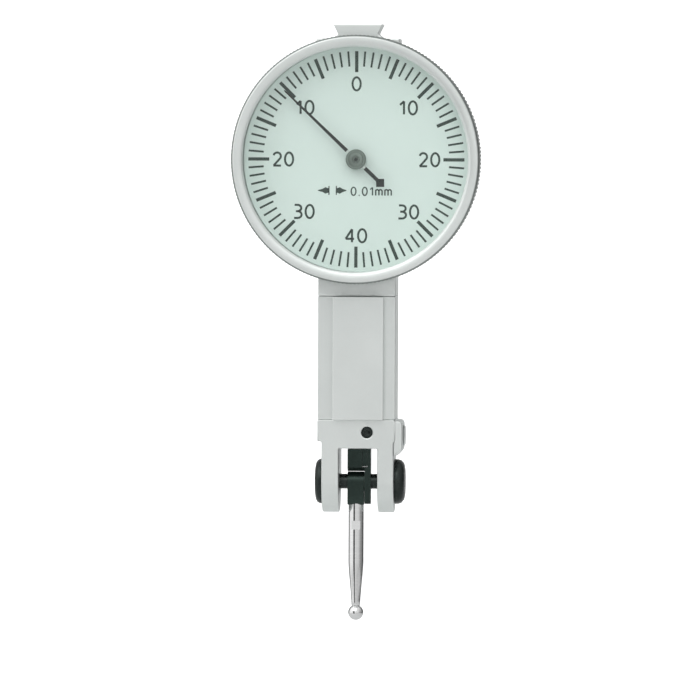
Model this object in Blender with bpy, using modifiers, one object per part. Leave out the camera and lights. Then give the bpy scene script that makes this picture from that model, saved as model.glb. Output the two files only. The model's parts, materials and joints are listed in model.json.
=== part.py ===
"""Lever-type dial test indicator, 0.01 mm reading, as an assembly of separate pieces.

The drawing is in millimetres. Every piece hangs from one root empty whose scale turns it into metres.
The dial faces -Y, the stylus hangs along -Z, and X runs across the fork. The origin is the middle of
the top dovetail's upper face, where a holder grips the indicator.
"""

import math

import bmesh
import bpy

# ---- driving dimensions, mm -------------------------------------------------------------------
METRES_PER_MM = 0.001
FIT = 0.02  # gap between two pieces that touch or are pressed together
PLAY = 0.05  # gap beside a piece that turns
OVERLAP = 0.3  # how far two blanks that are joined run into each other
CUTTER_REACH = 8.0  # how far a cutting tool reaches past the piece

DIAL_Z = -17.4  # middle of the dial, below the top dovetail
PIVOT_Z = -59.1  # cross axle that the stylus swings on
STYLUS_LENGTH = 17.0  # from the axle to the middle of the contact ball
BALL_RADIUS = 1.0
STYLUS_X = -0.12  # the stylus stands beside its lever plate, just left of the middle
SIDE_STEP = 0.25  # the front rail and the fork sit this far right of the stem's middle

BEZEL_RADIUS = 16.0
BEZEL_BORE = 14.62
BEZEL_REAR_Y = -3.6
BEZEL_FRONT_Y = -9.0
BEZEL_LIP_Y = -8.75
BEZEL_CREST_RADIUS = 15.35
BEZEL_SHOULDER_RADIUS = 15.75
BEZEL_SHOULDER_Y = -8.85
BEZEL_RIM_Y = -8.5
DIAL_RADIUS = 14.52
DIAL_FACE_Y = -5.95
DIAL_THICKNESS = 0.4
DIAL_HOLE = 1.0
CRYSTAL_RADIUS = 14.72
CRYSTAL_FRONT_Y = -8.5
CRYSTAL_THICKNESS = 0.6
POINTER_Y = -7.0
POINTER_REACH = 12.9
POINTER_REST_DEG = -46.3  # clockwise from the top, so the pointer rests left of zero

CASE_RADIUS = 14.9
CASE_BORE = 12.9
CASE_FRONT_Y = -3.3
CASE_REAR_Y = 4.6
COLLAR_RADIUS = 14.0  # the collar that the bezel turns on
COLLAR_FRONT_Y = -5.3
LEDGE_REAR_Y = -3.0
LEDGE_BORE = 11.2  # inside edge of the ledge that carries the movement plate
PLATE_REAR_Y = -4.1
PLATE_THICKNESS = 0.6
RING_Y = -4.4  # retaining ring in the joint between the collar and the bezel
RING_WIDTH = 0.4
RING_DEPTH = 0.22
RING_GAP = 2.0

STEM_HALF = 5.0
STEM_FRONT_Y = -3.4
STEM_REAR_Y = 4.0
STEM_TOP_Z = -35.05
FORK_TOP_Z = -51.0
CHANNEL_HALF = 2.3
CHANNEL_Y = 2.6
RAIL_FACE_HALF = 3.3  # dovetail rails: 6.6 wide at the face
RAIL_ROOT_HALF = 2.4
RAIL_HEIGHT = 1.6
COVER_THICKNESS = 0.95
COVER_TOP_Z = -32.5
COVER_BOTTOM_Z = -53.9

TOP_BLOCK_HALF = 5.35
TOP_BLOCK_Z = -1.87
TOP_BLOCK_LOW_Z = -5.0
DOVETAIL_HALF = 3.2
DOVETAIL_NECK_HALF = 2.55
DOVETAIL_NECK_Z = -1.3
DOVETAIL_ROOT_HALF = 3.7
DOVETAIL_HALF_LENGTH = 3.3

EAR_RADIUS = 4.0
EAR_LEFT_X = -4.45
EAR_RIGHT_X = 4.85
SLOT_LEFT_X = -2.25
SLOT_RIGHT_X = 2.75
SLOT_ROOF_Z = -54.7
LEFT_STEP_Z = -53.8
AXLE_RADIUS = 0.97
CAP_RADIUS = 2.9
LEFT_CAP_PROUD = 0.95
RIGHT_CAP_PROUD = 1.35

# ---- gear train: stylus lever, toothed sector, crown wheel, pointer -------------------------------
SECTOR_PIVOT_Z = -53.1
LEVER_RATIO = 0.8  # sector turn for each turn of the stylus
PIN_REACH = (SECTOR_PIVOT_Z - PIVOT_Z) * LEVER_RATIO / (1 + LEVER_RATIO)  # axle to drive pin
PIN_RADIUS = 0.35
SECTOR_TEETH = 500  # teeth that the sector would have as a full circle
SECTOR_TEETH_CUT = 9
SECTOR_PINION_TEETH = 12
CROWN_TEETH = 48
CENTRE_PINION_TEETH = 12
SECTOR_MODULE = 2 * (DIAL_Z - SECTOR_PIVOT_Z) / (SECTOR_TEETH + SECTOR_PINION_TEETH)
CROWN_RADIUS = 3.4  # where the crown wheel's teeth meet the centre pinion
CROWN_FACE = 0.8
CROWN_MODULE = 2 * CROWN_RADIUS / CROWN_TEETH
CENTRE_PINION_RADIUS = CROWN_MODULE * CENTRE_PINION_TEETH / 2
ADDENDUM = 0.8  # of the module
DEDENDUM = 1.15
BACKLASH = 0.045
PRESSURE_ANGLE = math.radians(20)
SECTOR_X = 1.0
SECTOR_THICKNESS = 0.6
SHAFT_RADIUS = 0.3

# ---- back cover and movement plate -----------------------------------------------------------------
BACK_COVER_THICKNESS = 0.7
BACK_SCREW_ANGLES = (45, 135, 225, 315)
BACK_SCREW_CIRCLE = 13.9
BACK_SCREW_RADIUS = 0.45
BACK_SCREW_DEPTH = 2.0
BACK_SCREW_HEAD = (0.85, 0.4)  # radius and height
PLATE_SCREW_ANGLES = (0, 120, 240)
PLATE_SCREW_CIRCLE = 12.05
PLATE_SCREW_RADIUS = 0.35
PLATE_SCREW_DEPTH = 0.9
PLATE_SCREW_HEAD = (0.62, 0.3)

# ---- bridges and jewels of the movement ------------------------------------------------------------
BRIDGE_INNER_X = 2.4
BRIDGE_OUTER_X = 3.0
BRIDGE_FOOT_X = 4.8
BRIDGE_FOOT_THICKNESS = 0.55
BRIDGE_REAR_Y = 0.9
BRIDGE_HALF_HEIGHT = 0.8
BRIDGE_SCREW_X = 4.1
BRIDGE_SCREW_RADIUS = 0.3
BRIDGE_SCREW_HEAD = (0.55, 0.3)
COCK_FRONT_Y = -2.2
COCK_REAR_Y = -1.65
COCK_END_X = -0.5
PIVOT_HOLE = 0.17
JEWEL_RADIUS = 0.7
JEWEL_BORE = 0.34
JEWEL_THICKNESS = 0.5
CROSS_JEWEL_RADIUS = 0.6

# ---- pointer, its bush and arbor, hairspring -------------------------------------------------------
POINTER_THICKNESS = 0.16
POINTER_MIDDLE_RADIUS = 0.95
POINTER_HALF_AT_HUB = 0.24
POINTER_HALF_AT_TIP = 0.1
POINTER_POINT = 0.3  # length of the pointed end
TAIL_WEIGHT_MIDDLE = 4.33
TAIL_WEIGHT_CORNER = 0.73
HUB_RADIUS = 1.3
HUB_REAR_Y = -6.35
HUB_FRONT_Y = -7.4
HUB_NOSE_RADIUS = 0.55
HUB_SHOULDER_HEIGHT = 0.28
HUB_ROUND = 0.12
HUB_GRIP = 0.1  # half of the groove that holds the pointer
HUB_WAIST_RADIUS = 0.6
HUB_FLANGE_RADIUS = 1.1
HUB_FLANGE_THICKNESS = 0.2
HUB_SLEEVE_RADIUS = 0.5
ARBOR_RADIUS = 0.3
ARBOR_TIP_RADIUS = 0.2
ARBOR_PIVOT_RADIUS = 0.13
ARBOR_FRONT_Y = -7.45
CENTRE_PINION_REAR_Y = -2.75
CENTRE_PINION_FRONT_Y = -3.75
COLLET_RADIUS = 0.55
COLLET_HALF_WIDTH = 0.2
HAIRSPRING_Y = -5.12
HAIRSPRING_WIDTH = 0.34
HAIRSPRING_START = 0.68
HAIRSPRING_END = 3.4
HAIRSPRING_TURNS = 4
HAIRSPRING_THICKNESS = 0.07
STUD_GAP = 0.1
STUD_SIZE = 0.7
STUD_FRONT_Y = -5.4

# ---- crown wheel, cross shaft, sector lever and its arbor ------------------------------------------
CROWN_BACK_X = -1.5
CROWN_EYE = 1.0
CROWN_STEP = 0.05  # the disc stands this far below the roots of its teeth
CROWN_HUB_LEFT_X = -1.8
CROWN_HUB_RIGHT_X = -1.05
SHAFT_END = 0.15
PINION_EXTRA_WIDTH = 0.3
SECTOR_RIM_DEPTH = 2.2
SECTOR_NECK_DEPTH = 4.6
SECTOR_WAIST_HALF = 0.75
SECTOR_FORK_HALF = 0.95
SECTOR_EYE_RADIUS = 1.5
SECTOR_ARBOR_RADIUS = 0.5
ARBOR_JOURNAL_RADIUS = 0.35
ARBOR_SHOULDER_X = 2.1
ARBOR_LEFT_END_X = -3.0
ARBOR_RIGHT_END_X = 3.6
JOURNAL_PLAY = 0.04
SPRING_TOP_DROP = 2.0
SPRING_LENGTH = 8.0
SPRING_FOOT = 1.5
SPRING_THICKNESS = 0.15
SPRING_TIP_Y = -1.0

# ---- screws of the rear cover ----------------------------------------------------------------------
COVER_SCREW_X = 4.1
COVER_SCREW_RADIUS = 0.35
COVER_SCREW_DEPTH = 2.2
COVER_SCREW_HEAD = (0.68, 0.35)
COVER_SCREW_ROWS = {"neck": -33.7, "fork": -52.6}

# ---- bearings and caps of the fork -----------------------------------------------------------------
BEARING_RADIUS = 1.6
BEARING_WIDTH = 1.3
BEARING_INSET = 0.3
CAP_SPIGOT = 0.35
CAP_SLOT_DEPTH = 0.4
CAP_SLOT_HALF = 0.25
BOSS_END_X = 5.95  # the boss on the right, about the sector arbor
BOSS_BOTTOM_Z = -55.6
BOSS_DROP = 0.12  # the boss starts a little below the joint with the stem
BOSS_HALF_DEPTH = 3.88
BOSS_TOP_ROUND = 0.55
BOSS_LOW_ROUND = 1.0
PLUG_RADIUS = 1.15
PLUG_HEAD_RADIUS = 1.35
PLUG_HEAD_HEIGHT = 0.25
PLUG_SLOT_DEPTH = 0.18
PLUG_SLOT_HALF = 0.22
PLUG_INNER_X = 2.45
PLUG_BORE_END_X = 3.9
LEFT_BUSH_RADIUS = 0.9
LEFT_BUSH_OUTER_X = -3.9
LEFT_BUSH_INNER_X = -2.3
SET_SCREW_X = 1.42
SET_SCREW_Z = -52.6
SET_SCREW_RADIUS = 0.72
SET_SCREW_FRONT_Y = -3.55
SET_SCREW_REAR_Y = -2.75
SOCKET_RADIUS = 0.4
SOCKET_DEPTH = 0.45

# ---- swinging lever, holder and stylus -------------------------------------------------------------
LEVER_LEFT_X = -1.22
LEVER_RIGHT_X = 1.77
CHEEK_X = 1.0
LEVER_TOP_Z = -54.9
LEVER_HALF_DEPTH = 1.25
LEVER_CHAMFER = 0.5
LEVER_SLOT_DROP = 0.82
BLOCK_BOTTOM_Z = -57.75
CHEEK_BOTTOM_Z = -62.0
PIN_LEFT_X = 0.15
AXLE_INSET = 0.45
HOLDER_LEFT_X = -1.22
HOLDER_RIGHT_X = 0.9
HOLDER_EYE = 1.27
HOLDER_HALF_DEPTH = 1.15
HOLDER_BOTTOM_Z = -62.1
HOLDER_CHAMFER = 0.3
WASHER_RADIUS = 1.2
THREAD_RADIUS = 0.55
THREAD_TOP_Z = -60.7
SHANK_RADIUS = 1.0
SHANK_CHAMFER = 0.1
TAPER_TOP_Z = -69.6
NECK_RADIUS = 0.58
FLAT_TOP_Z = -64.2
FLAT_BOTTOM_Z = -65.3
FLAT_HALF = 0.82

# ---- how finely round pieces are faceted -------------------------------------------------------
FINE_STEPS = 52
SMALL_STEPS = 20
TINY_STEPS = 12
CAP_STEPS = 32
PLUG_STEPS = 28
SHANK_STEPS = 24
WELD = 1e-4

TO_FRONT = (math.radians(90), 0, 0)  # a drawing in XY stands up and faces -Y
TO_REAR = (math.radians(90), 0, math.radians(180))
TO_RIGHT = (math.radians(90), 0, math.radians(90))  # drawing X is Y, drawing Y is Z, height is +X
TO_LEFT = (math.radians(90), 0, math.radians(-90))
UPRIGHT = (0, 0, 0)


# ---- scene, materials and placing ---------------------------------------------------------------
def clear_scene():
    for old in list(bpy.data.objects):
        bpy.data.objects.remove(old, do_unlink=True)


def new_collection(name):
    made = bpy.data.collections.new(name)
    bpy.context.scene.collection.children.link(made)
    return made


def new_material(name, colour, roughness, metallic, alpha=1.0):
    made = bpy.data.materials.new(name)
    made.use_nodes = True
    shader = made.node_tree.nodes["Principled BSDF"]
    shader.inputs["Base Color"].default_value = (*colour, 1.0)
    shader.inputs["Roughness"].default_value = roughness
    shader.inputs["Metallic"].default_value = metallic
    shader.inputs["Alpha"].default_value = alpha
    return made


def new_empty(name, at, parent):
    made = bpy.data.objects.new(name, None)
    made.empty_display_size = 3
    parts.objects.link(made)
    made.parent = parent
    made.location = at
    return made


def place(name, data, material, at, turn=UPRIGHT, parent=None):
    """Puts a piece at a point of the drawing, below the empty that it moves with."""
    piece = bpy.data.objects.new(name, data)
    if material and not data.materials:
        data.materials.append(material)
    parts.objects.link(piece)
    hold = parent or frame
    piece.parent = hold
    offset = hold.location if hold != root else (0, 0, 0)
    piece.location = [a - b for a, b in zip(at, offset)]
    piece.rotation_euler = turn
    return piece


def as_cutter(piece):
    """Turns a placed piece into a hidden tool for a Boolean."""
    parts.objects.unlink(piece)
    cutters.objects.link(piece)
    piece.hide_render = True
    piece.display_type = "WIRE"
    return piece


def combine(piece, tools, operation):
    for tool in tools:
        step = piece.modifiers.new(f"{operation.lower()}_{tool.name}", "BOOLEAN")
        step.operation = operation
        step.solver = "EXACT"
        step.object = tool
    return piece


def cut(piece, *tools):
    return combine(piece, tools, "DIFFERENCE")


def join(piece, *tools):
    return combine(piece, tools, "UNION")


# ---- meshes -------------------------------------------------------------------------------------
def box_mesh(name, size):
    mesh = bpy.data.meshes.new(name)
    shape = bmesh.new()
    bmesh.ops.create_cube(shape, size=1)
    bmesh.ops.scale(shape, vec=size, verts=shape.verts)
    shape.to_mesh(mesh)
    shape.free()
    return mesh


def box(name, low, high, material=None, parent=None):
    size = [b - a for a, b in zip(low, high)]
    middle = [(a + b) / 2 for a, b in zip(low, high)]
    return place(name, box_mesh(name, size), material, middle, UPRIGHT, parent)


def turned(name, profile, material, at, turn=UPRIGHT, parent=None, steps=SMALL_STEPS):
    """Turns a profile of (radius, height) points about its own upright axis. It runs down the outside."""
    mesh = bpy.data.meshes.new(name)
    mesh.from_pydata([(r, 0, h) for r, h in profile], [(i, i + 1) for i in range(len(profile) - 1)], [])
    piece = place(name, mesh, material, at, turn, parent)
    lathe = piece.modifiers.new("lathe", "SCREW")
    lathe.axis = "Z"
    lathe.steps = lathe.render_steps = steps
    lathe.use_merge_vertices = True
    lathe.merge_threshold = WELD
    return piece


def ring_profile(inner, outer, low, high):
    return [(inner, high), (outer, high), (outer, low), (inner, low), (inner, high)]


def rod_profile(radius, low, high):
    return [(0, high), (radius, high), (radius, low), (0, low)]


def flat_mesh(name, loops, thickness):
    """A plate of even thickness, from one outline and any holes, lying in XY about its middle plane."""
    curve = bpy.data.curves.new(name, "CURVE")
    curve.dimensions = "2D"
    curve.fill_mode = "BOTH"
    curve.extrude = thickness / 2
    for loop in loops:
        spline = curve.splines.new("POLY")
        spline.points.add(len(loop) - 1)
        for point, (u, v) in zip(spline.points, loop):
            point.co = (u, v, 0, 1)
        spline.use_cyclic_u = True
    drawing = bpy.data.objects.new(name, curve)
    bpy.context.scene.collection.objects.link(drawing)
    depsgraph = bpy.context.evaluated_depsgraph_get()
    mesh = bpy.data.meshes.new_from_object(drawing.evaluated_get(depsgraph))
    bpy.data.objects.remove(drawing, do_unlink=True)
    shape = bmesh.new()
    shape.from_mesh(mesh)
    bmesh.ops.remove_doubles(shape, verts=shape.verts, dist=WELD)
    bmesh.ops.recalc_face_normals(shape, faces=shape.faces)
    shape.to_mesh(mesh)
    shape.free()
    return mesh


def flat(name, loops, thickness, material, at, turn, parent=None):
    return place(name, flat_mesh(name, loops, thickness), material, at, turn, parent)


def arc(centre, radius, start_deg, end_deg, steps):
    """Points along an arc, both ends included, angles anticlockwise from the drawing's X."""
    angles = [math.radians(start_deg + (end_deg - start_deg) * i / steps) for i in range(steps + 1)]
    return [(centre[0] + radius * math.cos(a), centre[1] + radius * math.sin(a)) for a in angles]


def circle(centre, radius, steps=SMALL_STEPS):
    return arc(centre, radius, 0, 360, steps)[:-1]


def rectangle(low, high):
    return [(low[0], low[1]), (high[0], low[1]), (high[0], high[1]), (low[0], high[1])]


# ---- gear teeth ---------------------------------------------------------------------------------
def involute(angle):
    return math.tan(angle) - angle


def tooth(teeth, module, centre):
    """One tooth's outline from root to root, clockwise side first, about the angle of its middle."""
    pitch = teeth * module / 2
    base = pitch * math.cos(PRESSURE_ANGLE)
    half_at_pitch = math.pi / (2 * teeth) - BACKLASH / (4 * pitch)
    flank = []
    for radius in (pitch - DEDENDUM * module, pitch, pitch + ADDENDUM * module):
        angle = math.acos(min(1, base / radius))
        flank.append((radius, half_at_pitch + involute(PRESSURE_ANGLE) - involute(angle)))
    rising = [(r, centre - half) for r, half in flank]
    falling = [(r, centre + half) for r, half in reversed(flank)]
    return [(r * math.cos(a), r * math.sin(a)) for r, a in rising + falling]


def gear_outline(teeth, module, first_deg):
    points = []
    for number in range(teeth):
        points += tooth(teeth, module, math.radians(first_deg) + number * math.tau / teeth)
    return points


# ---- head: case, back cover, movement plate -------------------------------------------------------
def make_head_case():
    ring = RING_Y - RING_WIDTH / 2 - PLAY, RING_Y + RING_WIDTH / 2 + PLAY
    groove = COLLAR_RADIUS - RING_DEPTH
    # heights run towards the front, so each is the y with its sign turned
    profile = [
        (CASE_BORE, -COLLAR_FRONT_Y),
        (COLLAR_RADIUS, -COLLAR_FRONT_Y),
        (COLLAR_RADIUS, -ring[0]),
        (groove, -ring[0]),
        (groove, -ring[1]),
        (COLLAR_RADIUS, -ring[1]),
        (COLLAR_RADIUS, -CASE_FRONT_Y),
        (CASE_RADIUS, -CASE_FRONT_Y),
        (CASE_RADIUS, -CASE_REAR_Y),
        (CASE_BORE, -CASE_REAR_Y),
        (CASE_BORE, -LEDGE_REAR_Y),
        (LEDGE_BORE, -LEDGE_REAR_Y),
        (LEDGE_BORE, -PLATE_REAR_Y - PLAY),
        (CASE_BORE, -PLATE_REAR_Y - PLAY),
        (CASE_BORE, -COLLAR_FRONT_Y),
    ]
    case = turned("head_case", profile, silver, (0, 0, DIAL_Z), TO_FRONT, None, FINE_STEPS)
    top_block = as_cutter(
        box(
            "top_block_blank",
            (-TOP_BLOCK_HALF, STEM_FRONT_Y, TOP_BLOCK_LOW_Z),
            (TOP_BLOCK_HALF, STEM_REAR_Y, TOP_BLOCK_Z),
        )
    )
    dovetail_outline = [
        (-DOVETAIL_HALF, 0),
        (-DOVETAIL_NECK_HALF, DOVETAIL_NECK_Z),
        (-DOVETAIL_ROOT_HALF, TOP_BLOCK_Z - OVERLAP),
        (DOVETAIL_ROOT_HALF, TOP_BLOCK_Z - OVERLAP),
        (DOVETAIL_NECK_HALF, DOVETAIL_NECK_Z),
        (DOVETAIL_HALF, 0),
    ]
    dovetail_length = 2 * DOVETAIL_HALF_LENGTH
    dovetail = as_cutter(
        flat("dovetail_blank", [dovetail_outline], dovetail_length, None, (0, 0, 0), TO_FRONT)
    )
    neck = as_cutter(
        box(
            "neck_blank",
            (-STEM_HALF, STEM_FRONT_Y, STEM_TOP_Z + FIT),
            (STEM_HALF, STEM_REAR_Y, DIAL_Z - CASE_BORE - OVERLAP),
        )
    )
    tunnel = as_cutter(
        box(
            "tunnel_cutter",
            (-CHANNEL_HALF, -CHANNEL_Y, STEM_TOP_Z - 1),
            (CHANNEL_HALF, CHANNEL_Y, DIAL_Z - CASE_BORE + 1),
        )
    )
    join(case, top_block, dovetail, neck)
    cut(case, tunnel, *back_screw_cutters(), *cover_screw_cutters("neck"), *plate_screw_cutters())
    return case


def around_dial(radius, angle_deg, y):
    """A point about the dial's middle, its angle clockwise from the top as seen from the front."""
    angle = math.radians(angle_deg)
    return (radius * math.sin(angle), y, DIAL_Z + radius * math.cos(angle))


def back_screw_cutters():
    made = []
    for number, angle in enumerate(BACK_SCREW_ANGLES, 1):
        profile = rod_profile(BACK_SCREW_RADIUS + PLAY, -BACK_SCREW_DEPTH - PLAY, 2)
        at = around_dial(BACK_SCREW_CIRCLE, angle, CASE_REAR_Y)
        name = f"back_screw_cutter_{number}"
        made.append(as_cutter(turned(name, profile, None, at, TO_REAR, None, TINY_STEPS)))
    return made


def make_back_cover():
    profile = rod_profile(CASE_RADIUS, FIT, FIT + BACK_COVER_THICKNESS)
    cover = turned("back_cover", profile, silver, (0, CASE_REAR_Y, DIAL_Z), TO_REAR, None, FINE_STEPS)
    cut(cover, *[tool for tool in cutters.objects if tool.name.startswith("back_screw_cutter")])


def slotted_screw(name, head_radius, head_height, shank_radius, length):
    """A cheese-head screw standing on z = 0: head above, shank below, a slot across the head."""
    profile = [
        (0, head_height),
        (head_radius * 0.85, head_height),
        (head_radius, head_height * 0.7),
        (head_radius, 0),
        (shank_radius, 0),
        (shank_radius, -length),
        (0, -length),
    ]
    screw = turned(name, profile, None, (0, 0, 0), UPRIGHT, frame, TINY_STEPS)
    slot_half = head_radius * 0.14
    slot = as_cutter(
        box(
            name + "_slot",
            (-head_radius * 1.2, -slot_half, head_height * 0.45),
            (head_radius * 1.2, slot_half, head_height * 1.5),
        )
    )
    cut(screw, slot)
    depsgraph = bpy.context.evaluated_depsgraph_get()
    mesh = bpy.data.meshes.new_from_object(screw.evaluated_get(depsgraph))
    bpy.data.objects.remove(screw, do_unlink=True)
    bpy.data.objects.remove(slot, do_unlink=True)
    return mesh


def make_back_screws():
    length = BACK_SCREW_DEPTH + BACK_COVER_THICKNESS
    mesh = slotted_screw("back_cover_screw", *BACK_SCREW_HEAD, BACK_SCREW_RADIUS, length)
    y = CASE_REAR_Y + BACK_COVER_THICKNESS + 2 * FIT
    for number, angle in enumerate(BACK_SCREW_ANGLES, 1):
        at = around_dial(BACK_SCREW_CIRCLE, angle, y)
        place(f"back_cover_screw_{number}", mesh, steel, at, TO_REAR)


def plate_screw_cutters():
    made = []
    for number, angle in enumerate(PLATE_SCREW_ANGLES, 1):
        profile = rod_profile(PLATE_SCREW_RADIUS + PLAY, -3, 3)
        at = around_dial(PLATE_SCREW_CIRCLE, angle, PLATE_REAR_Y)
        name = f"plate_screw_cutter_{number}"
        made.append(as_cutter(turned(name, profile, None, at, TO_FRONT, None, TINY_STEPS)))
    return made


def make_movement_plate():
    """The round plate behind the dial, which carries the gear train."""
    loops = [
        circle((0, 0), CASE_BORE - PLAY, FINE_STEPS),
        circle((0, 0), JEWEL_RADIUS + FIT),
        circle((BRIDGE_SCREW_X, 0), BRIDGE_SCREW_RADIUS + FIT, TINY_STEPS),
        circle((-BRIDGE_SCREW_X, 0), BRIDGE_SCREW_RADIUS + FIT, TINY_STEPS),
    ]
    for angle in PLATE_SCREW_ANGLES:
        x, _, z = around_dial(PLATE_SCREW_CIRCLE, angle, 0)
        loops.append(circle((x, z - DIAL_Z), PLATE_SCREW_RADIUS + PLAY, TINY_STEPS))
    y = PLATE_REAR_Y - PLATE_THICKNESS / 2
    flat("movement_plate", loops, PLATE_THICKNESS, brass, (0, y, DIAL_Z), TO_FRONT)
    length = PLATE_THICKNESS + PLATE_SCREW_DEPTH
    mesh = slotted_screw("plate_screw", *PLATE_SCREW_HEAD, PLATE_SCREW_RADIUS, length)
    front = PLATE_REAR_Y - PLATE_THICKNESS - FIT
    for number, angle in enumerate(PLATE_SCREW_ANGLES, 1):
        at = around_dial(PLATE_SCREW_CIRCLE, angle, front)
        place(f"plate_screw_{number}", mesh, steel, at, TO_FRONT)


def make_bridges():
    """Two brackets behind the movement plate hold the cross shaft. The right one also holds the rear
    end of the centre arbor, on an arm that stays clear of the crown wheel."""
    front = PLATE_REAR_Y + FIT
    left = [
        (-BRIDGE_FOOT_X, front),
        (-BRIDGE_INNER_X, front),
        (-BRIDGE_INNER_X, BRIDGE_REAR_Y),
        (-BRIDGE_OUTER_X, BRIDGE_REAR_Y),
        (-BRIDGE_OUTER_X, front + BRIDGE_FOOT_THICKNESS),
        (-BRIDGE_FOOT_X, front + BRIDGE_FOOT_THICKNESS),
    ]
    right = [
        (BRIDGE_FOOT_X, front),
        (BRIDGE_FOOT_X, front + BRIDGE_FOOT_THICKNESS),
        (BRIDGE_OUTER_X, front + BRIDGE_FOOT_THICKNESS),
        (BRIDGE_OUTER_X, BRIDGE_REAR_Y),
        (BRIDGE_INNER_X, BRIDGE_REAR_Y),
        (BRIDGE_INNER_X, COCK_REAR_Y),
        (COCK_END_X, COCK_REAR_Y),
        (COCK_END_X, COCK_FRONT_Y),
        (BRIDGE_INNER_X, COCK_FRONT_Y),
        (BRIDGE_INNER_X, front),
    ]
    middle = (0, 0, DIAL_Z)
    across_profile = rod_profile(CROSS_JEWEL_RADIUS + FIT, -CUTTER_REACH, CUTTER_REACH)
    across = as_cutter(turned("cross_jewel_cutter", across_profile, None, middle, TO_RIGHT))
    pivot_profile = rod_profile(PIVOT_HOLE, 0, -PLATE_REAR_Y)
    pivot = as_cutter(
        turned("centre_pivot_cutter", pivot_profile, None, middle, TO_FRONT, None, TINY_STEPS)
    )
    for name, outline, side in (("bridge_left", left, -1), ("bridge_right", right, 1)):
        bridge = flat(name, [outline], 2 * BRIDGE_HALF_HEIGHT, brass, middle, UPRIGHT)
        screw_hole = as_cutter(
            turned(
                name + "_screw_cutter",
                rod_profile(BRIDGE_SCREW_RADIUS + FIT, -2, 2),
                None,
                (side * BRIDGE_SCREW_X, front, DIAL_Z),
                TO_REAR,
                None,
                TINY_STEPS,
            )
        )
        cut(bridge, across, screw_hole)
        if side == 1:
            cut(bridge, pivot)
    length = BRIDGE_FOOT_THICKNESS + PLATE_THICKNESS
    mesh = slotted_screw("bridge_screw", *BRIDGE_SCREW_HEAD, BRIDGE_SCREW_RADIUS, length)
    head_y = front + BRIDGE_FOOT_THICKNESS + FIT
    for name, side in (("bridge_screw_left", -1), ("bridge_screw_right", 1)):
        place(name, mesh, steel, (side * BRIDGE_SCREW_X, head_y, DIAL_Z), TO_REAR)


def make_jewels():
    half = JEWEL_THICKNESS / 2
    centre = ring_profile(JEWEL_BORE, JEWEL_RADIUS, -half, half)
    y = PLATE_REAR_Y - PLATE_THICKNESS / 2
    turned("jewel_centre", centre, ruby, (0, y, DIAL_Z), TO_FRONT)
    middle = (BRIDGE_INNER_X + BRIDGE_OUTER_X) / 2
    for name, side in (("jewel_cross_left", -1), ("jewel_cross_right", 1)):
        profile = ring_profile(JEWEL_BORE, CROSS_JEWEL_RADIUS, -half, half)
        turned(name, profile, ruby, (side * middle, 0, DIAL_Z), TO_RIGHT)


# ---- bezel group: everything that turns to set zero -----------------------------------------------
def make_bezel():
    ring = RING_Y - RING_WIDTH / 2 - PLAY, RING_Y + RING_WIDTH / 2 + PLAY
    skirt = COLLAR_RADIUS + PLAY
    seat = DIAL_FACE_Y + DIAL_THICKNESS + PLAY
    crystal_rear = CRYSTAL_FRONT_Y + CRYSTAL_THICKNESS
    profile = [
        (BEZEL_BORE, -BEZEL_LIP_Y),
        (BEZEL_CREST_RADIUS, -BEZEL_FRONT_Y),
        (BEZEL_SHOULDER_RADIUS, -BEZEL_SHOULDER_Y),
        (BEZEL_RADIUS, -BEZEL_RIM_Y),
        (BEZEL_RADIUS, -BEZEL_REAR_Y),
        (skirt, -BEZEL_REAR_Y),
        (skirt, -ring[1]),
        (skirt + RING_DEPTH, -ring[1]),
        (skirt + RING_DEPTH, -ring[0]),
        (skirt, -ring[0]),
        (skirt, -seat),
        (BEZEL_BORE, -seat),
        (BEZEL_BORE, -crystal_rear - FIT),
        (CRYSTAL_RADIUS + PLAY, -crystal_rear - FIT),
        (CRYSTAL_RADIUS + PLAY, -CRYSTAL_FRONT_Y + FIT),
        (BEZEL_BORE, -CRYSTAL_FRONT_Y + FIT),
        (BEZEL_BORE, -BEZEL_LIP_Y),
    ]
    turned("bezel", profile, silver, (0, 0, DIAL_Z), TO_FRONT, bezel_axis, FINE_STEPS)


def make_dial_plate():
    profile = ring_profile(DIAL_HOLE, DIAL_RADIUS, -DIAL_FACE_Y - DIAL_THICKNESS, -DIAL_FACE_Y)
    turned("dial_plate", profile, dial_white, (0, 0, DIAL_Z), TO_FRONT, bezel_axis, FINE_STEPS)


def make_crystal():
    profile = rod_profile(CRYSTAL_RADIUS, -CRYSTAL_FRONT_Y - CRYSTAL_THICKNESS, -CRYSTAL_FRONT_Y)
    turned("crystal", profile, glass, (0, 0, DIAL_Z), TO_FRONT, bezel_axis, FINE_STEPS)


def make_retaining_ring():
    """A sprung wire ring, open at the bottom, that keeps the bezel on its collar."""
    low = -RING_Y - RING_WIDTH / 2
    inner, outer = COLLAR_RADIUS - RING_DEPTH + FIT, COLLAR_RADIUS + RING_DEPTH
    profile = ring_profile(inner, outer, low, low + RING_WIDTH)
    ring = turned("retaining_ring", profile, steel, (0, 0, DIAL_Z), TO_FRONT, None, FINE_STEPS)
    gap = as_cutter(
        box(
            "ring_gap_cutter",
            (-RING_GAP / 2, RING_Y - 1, DIAL_Z - BEZEL_RADIUS),
            (RING_GAP / 2, RING_Y + 1, DIAL_Z - CASE_BORE),
        )
    )
    cut(ring, gap)


# ---- pointer group --------------------------------------------------------------------------------


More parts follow.
